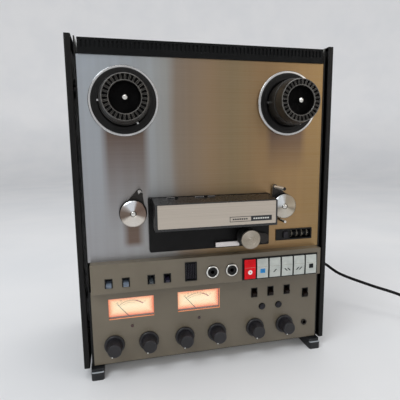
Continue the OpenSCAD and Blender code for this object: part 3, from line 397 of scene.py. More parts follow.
DIAL = glow("dial_lit_orange", dial_colour, 0.95)
# Painted glow on the meter's walls, as if lit by its lamp
SHELL_PAINTED_GLOW = glow("meter_wall_painted_glow", wall_colour, 0.75)
DECK = deck_steel()


# ---------------------------------------------------------------- shapes

def softened(points, radius):
    """The open outline with each inner corner rounded off."""
    steps = 3
    made = [points[0]]
    for before, here, after in zip(points, points[1:], points[2:]):
        here = Vector(here)
        towards = [Vector(before) - here, Vector(after) - here]
        reach = min(radius, towards[0].length * 0.45, towards[1].length * 0.45)
        start, end = (here + t.normalized() * reach for t in towards)
        for i in range(steps + 1):
            t = i / steps
            made.append(tuple(start * (1 - t) ** 2 + here * 2 * t * (1 - t) + end * t * t))
    return made + [points[-1]]


def clock(angle, radius):
    """Offset across and up of a point, with the angle in degrees clockwise from upright."""
    a = math.radians(angle)
    return radius * math.sin(a), radius * math.cos(a)


class Shape:
    """A mesh being built in millimetres. Each part added to it names its own material."""

    def __init__(self):
        self.bm = bmesh.new()
        self.materials = []

    def paint(self, faces, material, turn=None):
        """Gives new faces their material, and moves them by the matrix turn if there is one."""
        if material not in self.materials:
            self.materials.append(material)
        for face in faces:
            face.material_index = self.materials.index(material)
        if turn:
            bmesh.ops.transform(self.bm, matrix=turn, verts=list({v for f in faces for v in f.verts}))

    def lathe(self, axis, profile, material, soft=0.4, segments=72, ripple=None, along="y", turn=None):
        """Turns a profile of (radius, place along the axis) about an axis through a point.

        ripple is (count, depth, start, end) of flutes along a stretch of it.
        """
        points = softened(profile, soft) if soft else profile
        rings = []
        for radius, place_along in points:
            if radius < 1e-6:
                rings.append([self.bm.verts.new(turned(axis, 0, 0, place_along, along))])
                continue
            ring = []
            for i in range(segments):
                a = 2 * math.pi * i / segments
                r = radius
                if ripple and ripple[2] <= place_along <= ripple[3]:
                    r -= ripple[1] * (0.5 - 0.5 * math.cos(a * ripple[0]))
                ring.append(self.bm.verts.new(turned(axis, a, r, place_along, along)))
            rings.append(ring)
        faces = []
        for one, two in zip(rings, rings[1:]):
            if len(one) == 1 and len(two) == 1:
                continue
            for i in range(segments):
                j = (i + 1) % segments
                if len(one) == 1:
                    faces.append(self.bm.faces.new((one[0], two[j], two[i])))
                elif len(two) == 1:
                    faces.append(self.bm.faces.new((one[i], one[j], two[0])))
                else:
                    faces.append(self.bm.faces.new((one[i], one[j], two[j], two[i])))
        bmesh.ops.recalc_face_normals(self.bm, faces=faces)
        self.paint(faces, material, turn)

    def slab(self, lo, hi, material, soft=0.4, steps=2, turn=None):
        """Box with rounded edges."""
        lo, hi = Vector(lo), Vector(hi)
        size = hi - lo
        stand = Matrix.Translation((lo + hi) / 2) @ Matrix.Diagonal((*size, 1))
        made = bmesh.ops.create_cube(self.bm, size=1, matrix=stand)["verts"]
        faces = {f for v in made for f in v.link_faces}
        if soft:
            edges = list({e for v in made for e in v.link_edges})
            soft = min(soft, min(size) * 0.45)
            rounded = bmesh.ops.bevel(self.bm, geom=edges, offset=soft, segments=steps, profile=0.5,
                                      affect="EDGES")
            faces = {f for f in faces if f.is_valid} | set(rounded["faces"])
        self.paint(faces, material, turn)

    def prism(self, outline, start, end, material, turn=None, soft=0.0, steps=2):
        """Closed outline of (first, second) places, run on. turn maps (first, second, run) to space."""
        turn = turn or FACING
        before = set(self.bm.faces)
        near = [self.bm.verts.new(turn @ Vector((*p, start))) for p in outline]
        far = [self.bm.verts.new(turn @ Vector((*p, end))) for p in outline]
        faces = [self.bm.faces.new(near), self.bm.faces.new(far[::-1])]
        for i in range(len(outline)):
            j = (i + 1) % len(outline)
            faces.append(self.bm.faces.new((near[j], near[i], far[i], far[j])))
        bmesh.ops.recalc_face_normals(self.bm, faces=faces)
        if soft:
            edges = list({e for f in faces for e in f.edges if e.calc_face_angle(0) > 0.5})
            bmesh.ops.bevel(self.bm, geom=edges, offset=soft, segments=steps, profile=0.5, affect="EDGES")
        self.paint(set(self.bm.faces) - before, material)

    def add(self, mesh, material, turn=None):
        """Takes in a finished mesh and removes it."""
        if turn:
            mesh.transform(turn)
        before = set(self.bm.faces)
        self.bm.from_mesh(mesh)
        self.paint(set(self.bm.faces) - before, material)
        bpy.data.meshes.remove(mesh)

    def sweep(self, path, radius, material, sides):
        """Round cord along a path of points."""
        path = [Vector(p) for p in path]
        side = Vector((0, 0, 1))
        rings = []
        for i, here in enumerate(path):
            ahead = (path[min(i + 1, len(path) - 1)] - path[max(i - 1, 0)]).normalized()
            side = (side - ahead * side.dot(ahead)).normalized()
            across = ahead.cross(side)
            rings.append([self.bm.verts.new(here + (side * math.cos(a) + across * math.sin(a)) * radius)
                          for a in (2 * math.pi * k / sides for k in range(sides))])
        faces = [self.bm.faces.new(rings[0]), self.bm.faces.new(rings[-1][::-1])]
        for one, two in zip(rings, rings[1:]):
            for i in range(sides):
                j = (i + 1) % sides
                faces.append(self.bm.faces.new((one[j], one[i], two[i], two[j])))
        bmesh.ops.recalc_face_normals(self.bm, faces=faces)
        self.paint(faces, material)

    def numeral(self, text, size, where, material, thick=0.12):
        """A number cut from thin sheet. where maps (across, up, out) to space."""
        curve = bpy.data.curves.new("numeral", "FONT")
        curve.body = text
        curve.size = size
        curve.extrude = thick / 2
        curve.resolution_u = 2
        curve.align_x = "CENTER"
        curve.align_y = "CENTER"
        holder = bpy.data.objects.new("numeral", curve)
        self.add(bpy.data.meshes.new_from_object(holder), material, where)
        bpy.data.objects.remove(holder)
        bpy.data.curves.remove(curve)

    def finish(self, name, body, slot, *stands_for):
        """Makes the piece, riding on a body, and hides the CAD nodes that it stands for."""
        mesh = bpy.data.meshes.new(name)
        bmesh.ops.scale(self.bm, vec=(MM,) * 3, verts=self.bm.verts)
        self.bm.to_mesh(mesh)
        self.bm.free()
        for material in self.materials:
            mesh.materials.append(material)
        mesh.shade_smooth()
        mesh.set_sharp_from_angle(angle=math.radians(32))
        piece = bpy.data.objects.new(name, mesh)
        bpy.context.scene.collection.objects.link(piece)
        flat = piece.modifiers.new("flat_faces", "WEIGHTED_NORMAL")
        flat.keep_sharp = True
        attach(piece, body)
        if stands_for:
            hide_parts(*stands_for)


def turned(axis, angle, radius, along_axis, along):
    """Point at a radius and angle round an axis that runs along x or y."""
    if along == "y":
        return Vector((axis.x + radius * math.sin(angle), along_axis, axis.z + radius * math.cos(angle)))
    return Vector((along_axis, axis.y + radius * math.sin(angle), axis.z + radius * math.cos(angle)))


def rod(radius, start, end):
    """Lathe profile of a plain round bar."""
    return [(0, start), (radius, start), (radius, end), (0, end)]


# Maps (across, up, out towards the viewer) to space, for shapes drawn on the front
FACING = Matrix(((1, 0, 0, 0), (0, 0, -1, 0), (0, 1, 0, 0), (0, 0, 0, 1)))
# Maps (depth, height, across) to space, for side outlines run across the deck
SIDEWAYS = Matrix(((0, 0, 1, 0), (1, 0, 0, FRONT), (0, 1, 0, BASE), (0, 0, 0, 1)))


def cut_away(body, *cutters):
    """Mesh of a body with other shapes taken out of it. The bmesh data handed in is used up."""
    objects = []
    for bm in (body, *cutters):
        mesh = bpy.data.meshes.new("cut_work")
        bm.to_mesh(mesh)
        bm.free()
        objects.append(bpy.data.objects.new("cut_work", mesh))
        bpy.context.scene.collection.objects.link(objects[-1])
    for cutter in objects[1:]:
        cut = objects[0].modifiers.new("cut", "BOOLEAN")
        cut.object = cutter
        cut.operation = "DIFFERENCE"
        cut.solver = "EXACT"
        cut.use_self = True
    graph = bpy.context.evaluated_depsgraph_get()
    made = bpy.data.meshes.new_from_object(objects[0].evaluated_get(graph))
    for ob in objects:
        bpy.data.objects.remove(ob)
    return made


def panel_outline(x0, x1, h0, h1, radius):
    """Rectangle with round corners, as (across, up) places."""
    corners = ((x1 - radius, h1 - radius, 0), (x0 + radius, h1 - radius, 90),
               (x0 + radius, h0 + radius, 180), (x1 - radius, h0 + radius, 270))
    turns = [(x, h, math.radians(start + 22.5 * k)) for x, h, start in corners for k in range(5)]
    return [(x + radius * math.cos(a), h + radius * math.sin(a)) for x, h, a in turns]


def oblong(x0, x1, h0, h1):
    """Corners of an upright rectangle, as (across, up) places."""
    return [(x0, h0), (x1, h0), (x1, h1), (x0, h1)]


def on_front(x, depth, height):
    """Maps (across, up, out) to space, from a place on the front."""
    return Matrix.Translation(spot(x, depth, height)) @ FACING


def spin(angle, axis):
    """Turn by an angle in degrees about one of the space's axes."""
    return Matrix.Rotation(math.radians(angle), 4, axis)


def about_across(x, depth, height, angle):
    """Turn about an axis across the deck, raising the front for a positive angle in degrees."""
    there = spot(x, depth, height)
    return Matrix.Translation(there) @ spin(-angle, "X") @ Matrix.Translation(-there)


def about_depth(x, height, angle):
    """Turn clockwise about an axis along the depth, as seen from the front."""
    there = spot(x, 0, height)
    return Matrix.Translation(there) @ spin(angle, "Y") @ Matrix.Translation(-there)


def band(shape, centre, radii, angles, material, steps=24, thick=0.1):
    """Curved stripe on a dial. centre maps (across, up, out) to space."""
    turns = [angles[0] + (angles[1] - angles[0]) * i / steps for i in range(steps + 1)]
    outline = [clock(a, radii[1]) for a in turns] + [clock(a, radii[0]) for a in reversed(turns)]
    shape.prism(outline, 0, thick, material, centre)


def bar_mark(shape, centre, angle, start, end, width, material, thick=0.1):
    """Short radial line on a dial."""
    side = clock(angle + 90, width / 2)
    near, far = clock(angle, start), clock(angle, end)
    outline = [(near[0] - side[0], near[1] - side[1]), (far[0] - side[0], far[1] - side[1]),
               (far[0] + side[0], far[1] + side[1]), (near[0] + side[0], near[1] + side[1])]
    shape.prism(outline, 0, thick, material, centre)


# ---------------------------------------------------------------- CAD nodes that are kept

def dress(name, material, rules=(), soft=0.0, steps=2):
    """Gives a CAD node its materials. A rule is (material, test of a face's x, depth, height, normal)."""
    piece = NODES[name]
    mesh = piece.data
    mesh.materials.clear()
    for used in (material, *(r[0] for r in rules)):
        mesh.materials.append(used)
    indices = []
    for face in mesh.polygons:
        where, normal = face.center / MM, face.normal
        depth, height = where.y - FRONT, where.z - BASE
        found = [i for i, (_, test) in enumerate(rules) if test(where.x, depth, height, normal)]
        indices.append(found[0] + 1 if found else 0)
    mesh.polygons.foreach_set("material_index", indices)
    if soft:
        weld = piece.modifiers.new("weld", "WELD")
        weld.merge_threshold = 0.00001
        rounded = piece.modifiers.new("round_edges", "BEVEL")
        rounded.width = soft * MM
        rounded.segments = steps
        rounded.limit_method = "ANGLE"
        rounded.angle_limit = math.radians(40)


def dress_case():
    dress("chassis_frame", ZINC, [(TRIM, lambda x, d, h, n: n.y < -0.9 and d < 12)])
    dress("side_panels", CABINET, soft=0.8, steps=3)
    dress("top_grille", GRILLE, soft=0.3, steps=1)
    dress("rear_cover", COVER)
    dress("deck_plate", DECK)
    dress("transport_panel", BRONZE, soft=0.5)
    dials = [needle_axis(side) for side in ("left", "right")]

    # Painted glow on the cut edges of the meter windows
    def round_window(x, d, h, n):
        inside = any(abs(x - u) < 39.5 and abs(h - v - DIAL_RISE) < 19.6 for u, v in dials)
        return inside and abs(n.y) < 0.5

    dress("electronics_panel", BRONZE, [(SHELL_PAINTED_GLOW, round_window)])
    # The feet's top ledge gets a painted sheen
    dress("foot_rails", FOOT, [(FOOT_LEDGE_SHEEN, lambda x, d, h, n: n.z > 0.9 and d < -4.9)], soft=0.5)
    dress("head_base", BASE_BLACK, soft=0.4)
    dress("drive_belt", RUBBER)


def dress_works():
    head_face = [(CHROME, lambda x, d, h, n: d < -2.6 and h < 262 and abs(x) < 70),
                 (STEEL, lambda x, d, h, n: d > -2.7 and abs(x) < 92 and h > 238)]
    dress("tape_heads", CHROME, head_face, soft=0.2)
    dress("drive_motors", ZINC, [(STEEL, lambda x, d, h, n: d < 55 and h < 270)])
    dress("power_transformer", ZINC, [(COPPER, lambda x, d, h, n: (d < 109.5 or d > 160.5) and h > 13)])
    parts = [(BOARD, lambda x, d, h, n: 13.9 < h < 15.7 and n.z ** 2 > 0.5),
             (CAN, lambda x, d, h, n: 15.6 < h < 45 and x > -170 and d > 60 and (x >= -55 or d <= 177))]
    dress("amplifier_board", ZINC, parts)
    dress("capstan", CHROME)
    dress("motor_pulley", STEEL)


# ---------------------------------------------------------------- reels and rollers

def reel_table(side):
    """Steel table with a rubber mat, a stepped hub with three keys, and the spindle."""
    name = side + "_reel_table"
    axis = middle(name)
    lo, hi = box(name)
    table_r = (hi.x - lo.x) / 2
    face, mat_r, shaft_r = FRONT, table_r - 4.3, 4.25
    shape = Shape()
    rim = [(41, face + 0.3), (41, face + 4.8), (table_r - 0.6, face + 5), (table_r, face + 4.4),
           (table_r, face + 1.2), (table_r - 1, face), (mat_r + 0.4, face - 0.2),
           (mat_r + 0.1, face + 0.3), (41, face + 0.3)]
    shape.lathe(axis, rim, TABLE_METAL, 0.3, 160)
    # Painted shade: a near-black disc behind the mat, seen in the gap round the hub
    shape.lathe(axis, [(0, face + 5), (41.2, face + 5), (41.2, face + 0.4), (0, face + 0.4)], SHADE_BLACK,
                0, 96)
    mat = [(40, face + 0.1), (40, face - 0.8), (43.6, face - 0.8), (44.0, face - 0.5), (44.4, face - 0.8),
           (mat_r - 0.6, face - 1), (mat_r, face - 0.5), (mat_r, face + 0.1)]
    shape.lathe(axis, mat, MAT, 0.15, 160)
    hub = [(36.5, face + 0.1), (36.5, face - 9.4), (37.9, face - 10), (37.9, face - 25.4),
           (37, face - 26.5), (shaft_r + 0.2, face - 26.5)]
    shape.lathe(axis, hub, HUB, 0.5, 96)
    for angle in (30, 150, 270):
        turn = about_depth(axis.x, axis.z - BASE, angle)
        shape.slab((axis.x - 2, face - 8, axis.z + 33), (axis.x + 2, face - 1, axis.z + 41.5), TRIM, 0.7,
                   3, turn)
    shaft = [(0, lo.y), (1.6, lo.y), (shaft_r, lo.y + 2.4), (shaft_r, hi.y - 0.5), (0, hi.y)]
    shape.lathe(axis, shaft, CHROME, 1.0, 40)
    drum = [(4.2, face + 12), (24, face + 12), (24, face + 24), (10, face + 24), (10, face + 26),
            (4.2, face + 26)]
    shape.lathe(axis, drum, STEEL, 0.3, 64)
    shape.lathe(axis, [(10, face + 4.8), (10, face + 12.2)], STEEL, 0, 48)
    shape.finish(name + "_turned", name, "table_metal", name)


def hub_lock(side):
    """Locking knob of the hub: a tapered ring with ribs round its face and a deep recess."""
    name = side + "_hub_adaptor"
    axis = middle(name)
    lo, hi = box(name)
    front, back = lo.y, hi.y
    shape = Shape()
    ring = [(34.1, front + 0.9), (36.3, back - 1.6), (36.45, back - 0.4), (35.6, back), (4.32, back)]
    shape.lathe(axis, ring, HUB, 0.35, 160)
    # Rims partly in painted highlight
    shape.lathe(axis, [(32.4, front + 1.7), (32.7, front), (33.5, front), (34.1, front + 0.9)], HUB_EDGE_SHEEN,
                0.25, 160)
    lip = [(22.9, front + 2), (23, front + 0.8), (23.6, front), (24.5, front), (24.9, front + 1.7)]
    shape.lathe(axis, lip, HUB_EDGE_SHEEN, 0.25, 160)
    # Painted shade on the floor of the grooves between the ribs
    shape.lathe(axis, [(24.8, front + 1.7), (32.5, front + 1.7)], SHADE_BLACK, 0, 160)
    well = [(4.32, front + 11), (21.5, front + 11), (22.6, front + 8), (22.9, front + 2)]
    # Painted shade: the deep recess near black
    shape.lathe(axis, well, SHADE_BLACK, 0.3, 96)
    ribs = 28
    for i in range(ribs):
        turn = about_depth(axis.x, axis.z - BASE, 360 * i / ribs + 3)
        shape.slab((axis.x - 1.4, front + 0.1, axis.z + 24.6), (axis.x + 1.4, front + 2.2, axis.z + 32.7),
                   HUB, 0.5, 2, turn)
    shape.finish(name + "_ribbed", name, "adaptor_black", name)


# Painted sheen of the turned caps, the room mirrored in light and dark wedges, as spun_metal takes it
ROLLER_PAINTED_SHEEN = {
    "supply": ((-180, "f0e9e0"), (-128, "ece3d8"), (-108, "7a6a5f"), (-74, "84746a"), (-50, "b6aea8"),
               (-33, "f4f7fb"), (5, "f6f8fb"), (20, "8c776c"), (60, "7c675c"), (104, "8e7c70"),
               (124, "ece3d8"), (180, "f0e9e0")),
    "takeup": ((-180, "d8d2c6"), (-132, "d0c8bb"), (-102, "9d978d"), (-72, "dde2e5"), (-20, "f6fafc"),
               (8, "b2a693"), (40, "b7a892"), (88, "c8bba6"), (108, "978d7d"), (130, "d4cbbb"),
               (180, "d8d2c6")),
    "pinch": ((-180, "b9afa0"), (-90, "a99f90"), (-30, "c4bbae"), (60, "aca292"), (130, "b6ab9c"),
              (180, "b9afa0"))}


def guide_roller(side):
    """Roller with a black rear flange, a steel drum and a turned cap held by a dome-headed screw."""
    name = side + "_roller"
    axis = middle(name)
    lo, hi = box(name)
    cap_r = (hi.x - lo.x) / 2 - 1
    front = lo.y
    painted_sheen = spun_metal(name + "_spun", axis, ROLLER_PAINTED_SHEEN[side])
    shape = Shape()
    flange = [(3.1, hi.y), (cap_r + 0.6, hi.y), (cap_r + 1, hi.y - 0.5), (cap_r + 1, hi.y - 2),
              (cap_r + 0.5, hi.y - 2.5), (15.9, hi.y - 2.5), (3.1, hi.y - 2.4)]
    shape.lathe(axis, flange, TRIM, 0.3, 96)
    shape.lathe(axis, [(16, hi.y - 2.5), (16, front + 3.4)], STEEL, 0, 72)
    cap = [(4.7, front + 0.9), (5.4, front + 0.35), (cap_r - 1.6, front + 0.2), (cap_r, front + 1.5),
           (cap_r, front + 3.1), (cap_r - 0.6, front + 3.5), (3.1, front + 3.5)]
    shape.lathe(axis, cap, painted_sheen, 0.25, 128)
    # Painted shade: a dark ring round the screw head
    shape.lathe(axis, [(4.8, front + 1), (4.1, front + 1)], SHADE_BLACK, 0, 48)
    dome = [(0, front - 0.5), (1.6, front - 0.4), (3.3, front + 0.1), (4.2, front + 0.9), (4.2, front + 1.6)]
    shape.lathe(axis, dome, CHROME, 0.3, 48)
    shape.finish(name + "_turned", name, "roller_metal", name)


def tension_arm(side):
    """Dark arm behind the roller with a bright pin that the tape runs over."""
    edge = [(STEEL, lambda x, d, h, n: 0.5 < d < 6 and abs(n.y) < 0.5),
            (ARM_METAL, lambda x, d, h, n: d < -35 and n.y < -0.5),
            (PIN_METAL, lambda x, d, h, n: d < 0.5)]
    dress(side + "_tension_arm", ARM_METAL, edge, soft=0.4)


def pinch_roller():
    """Rubber roller on a bright hub with a turned cap."""
    name = "pinch_roller"
    axis = middle(name)
    lo, hi = box(name)
    radius = (hi.x - lo.x) / 2
    painted_sheen = spun_metal("pinch_cap_spun", axis, ROLLER_PAINTED_SHEEN["pinch"], 0.34)
    shape = Shape()
    cap = [(0, lo.y + 0.5), (2.4, lo.y + 0.5), (2.8, lo.y + 0.1), (3.8, lo.y + 0.1), (4.2, lo.y + 0.55),
           (8.6, lo.y + 0.55), (9, lo.y + 0.1), (radius - 1.4, lo.y + 0.1), (radius - 0.3, lo.y + 1.1),
           (radius - 0.3, lo.y + 3.4), (radius - 0.8, lo.y + 4), (9, lo.y + 4), (9, hi.y), (2.6, hi.y),
           (2.6, lo.y + 3), (0, lo.y + 3)]
    shape.lathe(axis, cap, painted_sheen, 0.2, 96)
    tyre = [(9, lo.y + 4.05), (radius - 0.7, lo.y + 4.05), (radius, lo.y + 4.8), (radius, hi.y - 0.8),
            (radius - 0.7, hi.y), (9, hi.y)]
    shape.lathe(axis, tyre, RUBBER, 0.3, 96)
    shape.finish("pinch_roller_turned", name, "roller_rubber", name)
    dress("pinch_arm", ARM_METAL, soft=0.3)
    dress("cue_lever", LEVER_METAL, soft=0.6, steps=3)


# ---------------------------------------------------------------- head cover

def head_cover():
    """Hinged cover, hollow behind, with a champagne plate, a plain two-part badge and hinge leaves."""
    lo, hi = box("head_cover")
    half, low, wall = hi.x, lo.z - BASE, 2.2
    plate_front = lo.y - FRONT
    front, brow = plate_front + 1.2, 280
    pin_depth, pin_height, pin_r = -4.5, 281, 3.5
    turns = [math.radians(8 * k) for k in range(13)]
    crown = [(pin_depth + pin_r * math.cos(a), pin_height + pin_r * math.sin(a)) for a in turns]
    body, hollow, notch = Shape(), Shape(), Shape()
    body.prism([(front, low), (-1, low), *crown, (front, brow)], -half, half, HOUSING, SIDEWAYS, soft=1.1,
               steps=4)
    inside = [(front + wall, low - 1), (0, low - 1), (0, 276), (-9.5, 276), (-9.5, 281),
              (front + wall, brow - wall)]
    hollow.prism(inside, -half + wall, half - wall, HOUSING, SIDEWAYS)
    notch.slab(spot(-half - 1, -12, low - 1), spot(half + 1, 0, 273), HOUSING, 0)
    shape = Shape()
    shape.add(cut_away(body.bm, hollow.bm, notch.bm), HOUSING)
    plate = panel_outline(-half + 3.7, half - 3.7, low + 4.3, brow - 1.4, 1)
    shape.prism(plate, 0, 1.2, PLATE_CREAM, on_front(0, front, 0), soft=0.3)

    # Badge: an open half and a black half, with plain dashes in place of lettering
    left, split, right, foot, head, rule = 18, 54, 90, 246.5, 255, 0.8
    face = on_front(0, plate_front, 0)
    for edges in ((left, left + rule, foot, head), (left, split, foot, foot + rule),
                  (left, split, head - rule, head), (split, right, foot, head)):
        shape.prism(oblong(*edges), 0, 0.25, BADGE_BLACK, face)
    middle_h, dashes = (foot + head) / 2, 7
    for start, end, ink in ((left + 5, split - 5, BADGE_BLACK), (split + 4, right - 4, DIGIT_WHITE)):
        pitch = (end - start) / dashes
        for i in range(dashes):
            x0 = start + i * pitch
            shape.prism(oblong(x0, x0 + pitch * 0.7, middle_h - 1.1, middle_h + 1.1), 0, 0.4, ink, face)

    # Three hinge leaves and two knuckles along the rear of the top
    for start, end in ((-77, -64.5), (-30, -15.5), (-7.5, 4)):
        shape.slab(spot(start, -11, 283.6), spot(end, -9.6, 285.7), LEVER_METAL, 0.3, 2)
    for knuckle in (-61, -12):
        barrel = rod(1.4, knuckle - 2.6, knuckle + 2.6)
        shape.lathe(spot(0, -10.4, 285.2), barrel, TRIM, 0.3, 24, along="x")
    shape.finish("head_cover_shell", "head_cover", "shell_black", "head_cover")


# ---------------------------------------------------------------- transport controls

BUTTONS = ("record", "pause", "play", "rewind", "forward", "stop")


def chevron(shape, centre_x, mid, size, way, where):
    """Arrow head of two strokes pointing right for way 1 and left for way -1."""
    stroke, half = 2.4, size / 2
    tip = centre_x + way * half * 0.55
    tail = centre_x - way * half * 0.45
    for up in (-1, 1):
        outline = [(tip, mid), (tail, mid + up * half), (tail - way * stroke, mid + up * half),
                   (tip - way * stroke, mid)]
        shape.prism(outline, 0, 0.2, INK_BLACK, where)


def transport_button(name):
    """Black key with a coloured face plate creased across it, and its printed mark."""
    cad = name + "_button"
    lo, hi = box(cad)
    x = (lo.x + hi.x) / 2
    front, low, high = lo.y - FRONT, lo.z - BASE, hi.z - BASE
    tint = BUTTON_RED if name == "record" else BUTTON_PALE
    crease = low + (high - low) * 0.585
    shape = Shape()
    plate = [(front + 2, low), (front + 0.7, low), (front, crease - 0.5), (front + 0.6, crease),
             (front + 0.1, crease + 0.5), (front + 1.2, high), (front + 2.6, high)]
    shape.prism(plate, lo.x, hi.x, tint, SIDEWAYS, soft=0.3)
    body = [(front + 8.5, low + 0.3), (front + 1.9, low + 0.3), (front + 2.5, high - 0.3),
            (front + 8.5, high - 0.3)]
    shape.prism(body, lo.x + 0.3, hi.x - 0.3, TRIM, SIDEWAYS, soft=0.2)
    waist = (low + high) / 2
    shape.slab(spot(x - 4, front + 7.5, waist - 6), spot(x + 4, hi.y - FRONT, waist + 6), TRIM, 0.4)
    fold = oblong(lo.x + 1, hi.x - 1, crease - 0.35, crease + 0.35)
    shape.prism(fold, 0, 0.1, INK_FAINT, on_front(0, front + 0.45, 0))
    mark = low + (high - low) * (0.35 if name == "record" else 0.41)
    where = on_front(0, front + 0.4, 0)
    if name == "record":
        band(shape, on_front(x, front + 0.4, mark), (1.1, 4.0), (0, 359.9), INK_WHITE, 40, 0.35)
    elif name == "pause":
        shape.prism(oblong(x - 4.6, x + 4.6, mark - 5, mark + 5), 0, 0.3, INK_BLUE, where)
        for way in (-1, 1):
            bar = oblong(x + way * 0.5, x + way * 2.2, mark - 2.2, mark + 2.2)
            shape.prism(bar, 0.1, 0.4, INK_DEEP_BLUE, where)
    elif name == "stop":
        shape.prism(oblong(x - 4.2, x + 4.2, mark - 4, mark + 4.6), 0, 0.35, INK_BLACK, where)
    elif name == "play":
        chevron(shape, x + 0.8, mark, 10.5, 1, where)
    else:
        way = 1 if name == "forward" else -1
        for shift in (-2.9, 2.9):
            chevron(shape, x + shift + way * 0.7, mark, 10, way, where)
    shape.finish(cad + "_cap", cad, "button_red" if name == "record" else "button_pale", cad)


def power_rocker():
    """Rocker with raised ribs along it, tilted at rest."""
    name = "power_rocker"
    x, height = middle(name).x, 158
    axis_depth, tilt = -6, 6
    turn = about_across(x, axis_depth, height, tilt)
    run_across = turn @ Matrix.Translation((0, axis_depth, height)) @ SIDEWAYS
    half = 8.2
    shape = Shape()
    body = [(-6.6, 13), (-5.4, 0), (-6.6, -13), (-1, -13), (4, 0), (-1, 13)]
    # Body in painted shade, seen between the ribs
    shape.prism(body, x - half, x + half, SHADE_BLACK, run_across, soft=0.3)
    rib = [(-8, 12.9), (-6.8, 0), (-8, -12.9), (-5, -12), (-4, 0), (-5, 12)]
    ribs, thick = 6, 1.5
    for i in range(ribs):
        start = x - half + 0.2 + i * (2 * half - 0.4 - thick) / (ribs - 1)
        shape.prism(rib, start, start + thick, SWITCH, run_across, soft=0.35)
    shape.lathe(spot(x, axis_depth, height), rod(1.5, x - 9.3, x + 9.3), STEEL, 0.2, 24, along="x")
    shape.finish("power_rocker_ribbed", name, "rocker_black", name)


def switches():
    tints = {"speed_switch": PADDLE_PALE, "reel_size_switch": PADDLE_PALE, "bias_switch": PADDLE_GREY,
             "equalizer_switch": PADDLE_DARK}
    for name, tint in tints.items():
        dress(name, tint, soft=0.5, steps=3)
    for name in ("monitor_left_toggle", "monitor_right_toggle", "output_toggle", "memory_toggle"):
        # Toggle levers with a painted reflection of the warm room
        dress(name, LEVER_BROWN_SHEEN, soft=0.7, steps=3)
    for name in ("record_mode_left", "record_mode_right", "counter_reset"):
        dress(name, SWITCH, soft=0.6, steps=3)


# Places of the sockets as (x, height), and of the lamps as x
MIC_SOCKETS = ((-2, 153.9), (32.8, 154.4))
PHONES = (181.7, 33.3)
LAMPS = (-140.2, -23.2)


def trims():
    """Bezels and wells round the controls, with painted shade in the socket insides, and lamp lenses."""
    lenses = [(LAMP_RED, lambda x, d, h, n: 60 < h < 72 and min(abs(x - lamp) for lamp in LAMPS) < 2.8)]
    dress("panel_trims", TRIM, lenses, soft=0.15, steps=1)
    # Painted shade inside the socket holes
    rings = [(SHADE_BLACK, lambda x, d, h, n: h > 135 and d < 60),
             (SHADE_BLACK, lambda x, d, h, n: d < 60 and math.hypot(x - PHONES[0], h - PHONES[1]) < 4),
             (ARM_METAL, lambda x, d, h, n: d < 60 and h < 50)]
    dress("sockets", CHROME, rings, soft=0.35, steps=3)
    shape = Shape()
    for x, height in MIC_SOCKETS:
        axis, face = spot(x, 0, height), FRONT - 14
        rounded = [(8.3, face), (8.5, face - 0.6), (9.3, face - 1.1), (10.4, face - 0.8), (11.2, face),
                   (11.5, face + 1.9)]
        shape.lathe(axis, rounded, CHROME, 0.4, 72)
        insert = [(3.3, face + 2), (3.3, face - 0.1), (4.1, face - 0.4), (5, face - 0.2),
                  (6.9, face - 0.2), (7.4, face - 0.5), (8.4, face - 0.3)]
        shape.lathe(axis, insert, TRIM, 0.2, 64)
    shape.finish("mic_socket_bezels", "deck", "socket_metal")


# ---------------------------------------------------------------- level knobs

KNOBS = ("mic_left", "mic_right", "line_left", "line_right", "output_left", "output_right")
LOWEST = 205
KNOB_SWEEP = 310


def level_knob(name):
    """Skirted knob with a fluted cap and a bright pointer dot at its lowest setting."""
    cad = name + "_knob"
    lo, hi = box(cad)
    x, height = (lo.x + hi.x) / 2, (lo.z + hi.z) / 2 - BASE
    axis = Vector((x, 0, BASE + height))
    skirt_r = (hi.x - lo.x) / 2
    front, skirt_front, back = lo.y + 0.3, FRONT - 3, FRONT + 2
    cap_r = 12.5
    shape = Shape()
    skirt = [(0, back), (skirt_r - 0.5, back), (skirt_r, back - 0.5), (skirt_r, skirt_front + 1.5),
             (skirt_r - 1.2, skirt_front + 0.3), (cap_r + 1.2, skirt_front),
             (cap_r + 0.6, skirt_front + 0.4), (0, skirt_front + 0.4)]
    shape.lathe(axis, skirt, KNOB, 0.5, 96)
    flutes = 44
    cap = [(cap_r - 0.1, skirt_front + 0.6), (cap_r, skirt_front - 0.6), (cap_r - 0.4, front + 5),
           (cap_r - 0.9, front + 1.6), (cap_r - 1.5, front + 0.5), (cap_r - 2.4, front),
           (cap_r - 3.2, front), (cap_r - 3.6, front + 0.35), (0, front + 0.35)]
    shape.lathe(axis, cap, KNOB, 0.3, flutes * 6, ripple=(flutes, 0.55, front + 1.4, skirt_front))
    shape.lathe(axis, [(3, back), (3, hi.y)], STEEL, 0, 24)
    dot = clock(LOWEST, cap_r - 1.9)
    there = Vector((x + dot[0], 0, axis.z + dot[1]))
    shape.lathe(there, [(0, front - 0.3), (0.8, front - 0.25), (1.05, front), (1.05, front + 1)],
                DIGIT_WHITE, 0.1, 20)
    turn = about_depth(x, height, LOWEST)
    foot, head = axis.z + cap_r - 1.4, axis.z + cap_r + 0.15
    shape.slab((x - 0.6, front + 0.6, foot), (x + 0.6, skirt_front, head), KNOB, 0.2, 2, turn)
    shape.finish(cad + "_fluted", cad, "knob_black", cad)
    return x, height, skirt_r


def panel_marks(places):
    """Faint tick marks round the knobs."""
    shape = Shape()
    face = box("electronics_panel")[0].y - FRONT
    for x, height, radius in places:
        centre = on_front(x, face, height)
        for i in range(11):
            length = 2.2 if i % 5 == 0 else 1.3
            angle = LOWEST + KNOB_SWEEP * i / 10
            bar_mark(shape, centre, angle, radius + 1.6, radius + 1.6 + length, 0.4, INK_FAINT, 0.06)
    shape.finish("panel_tick_marks", "deck", "panel_bronze")


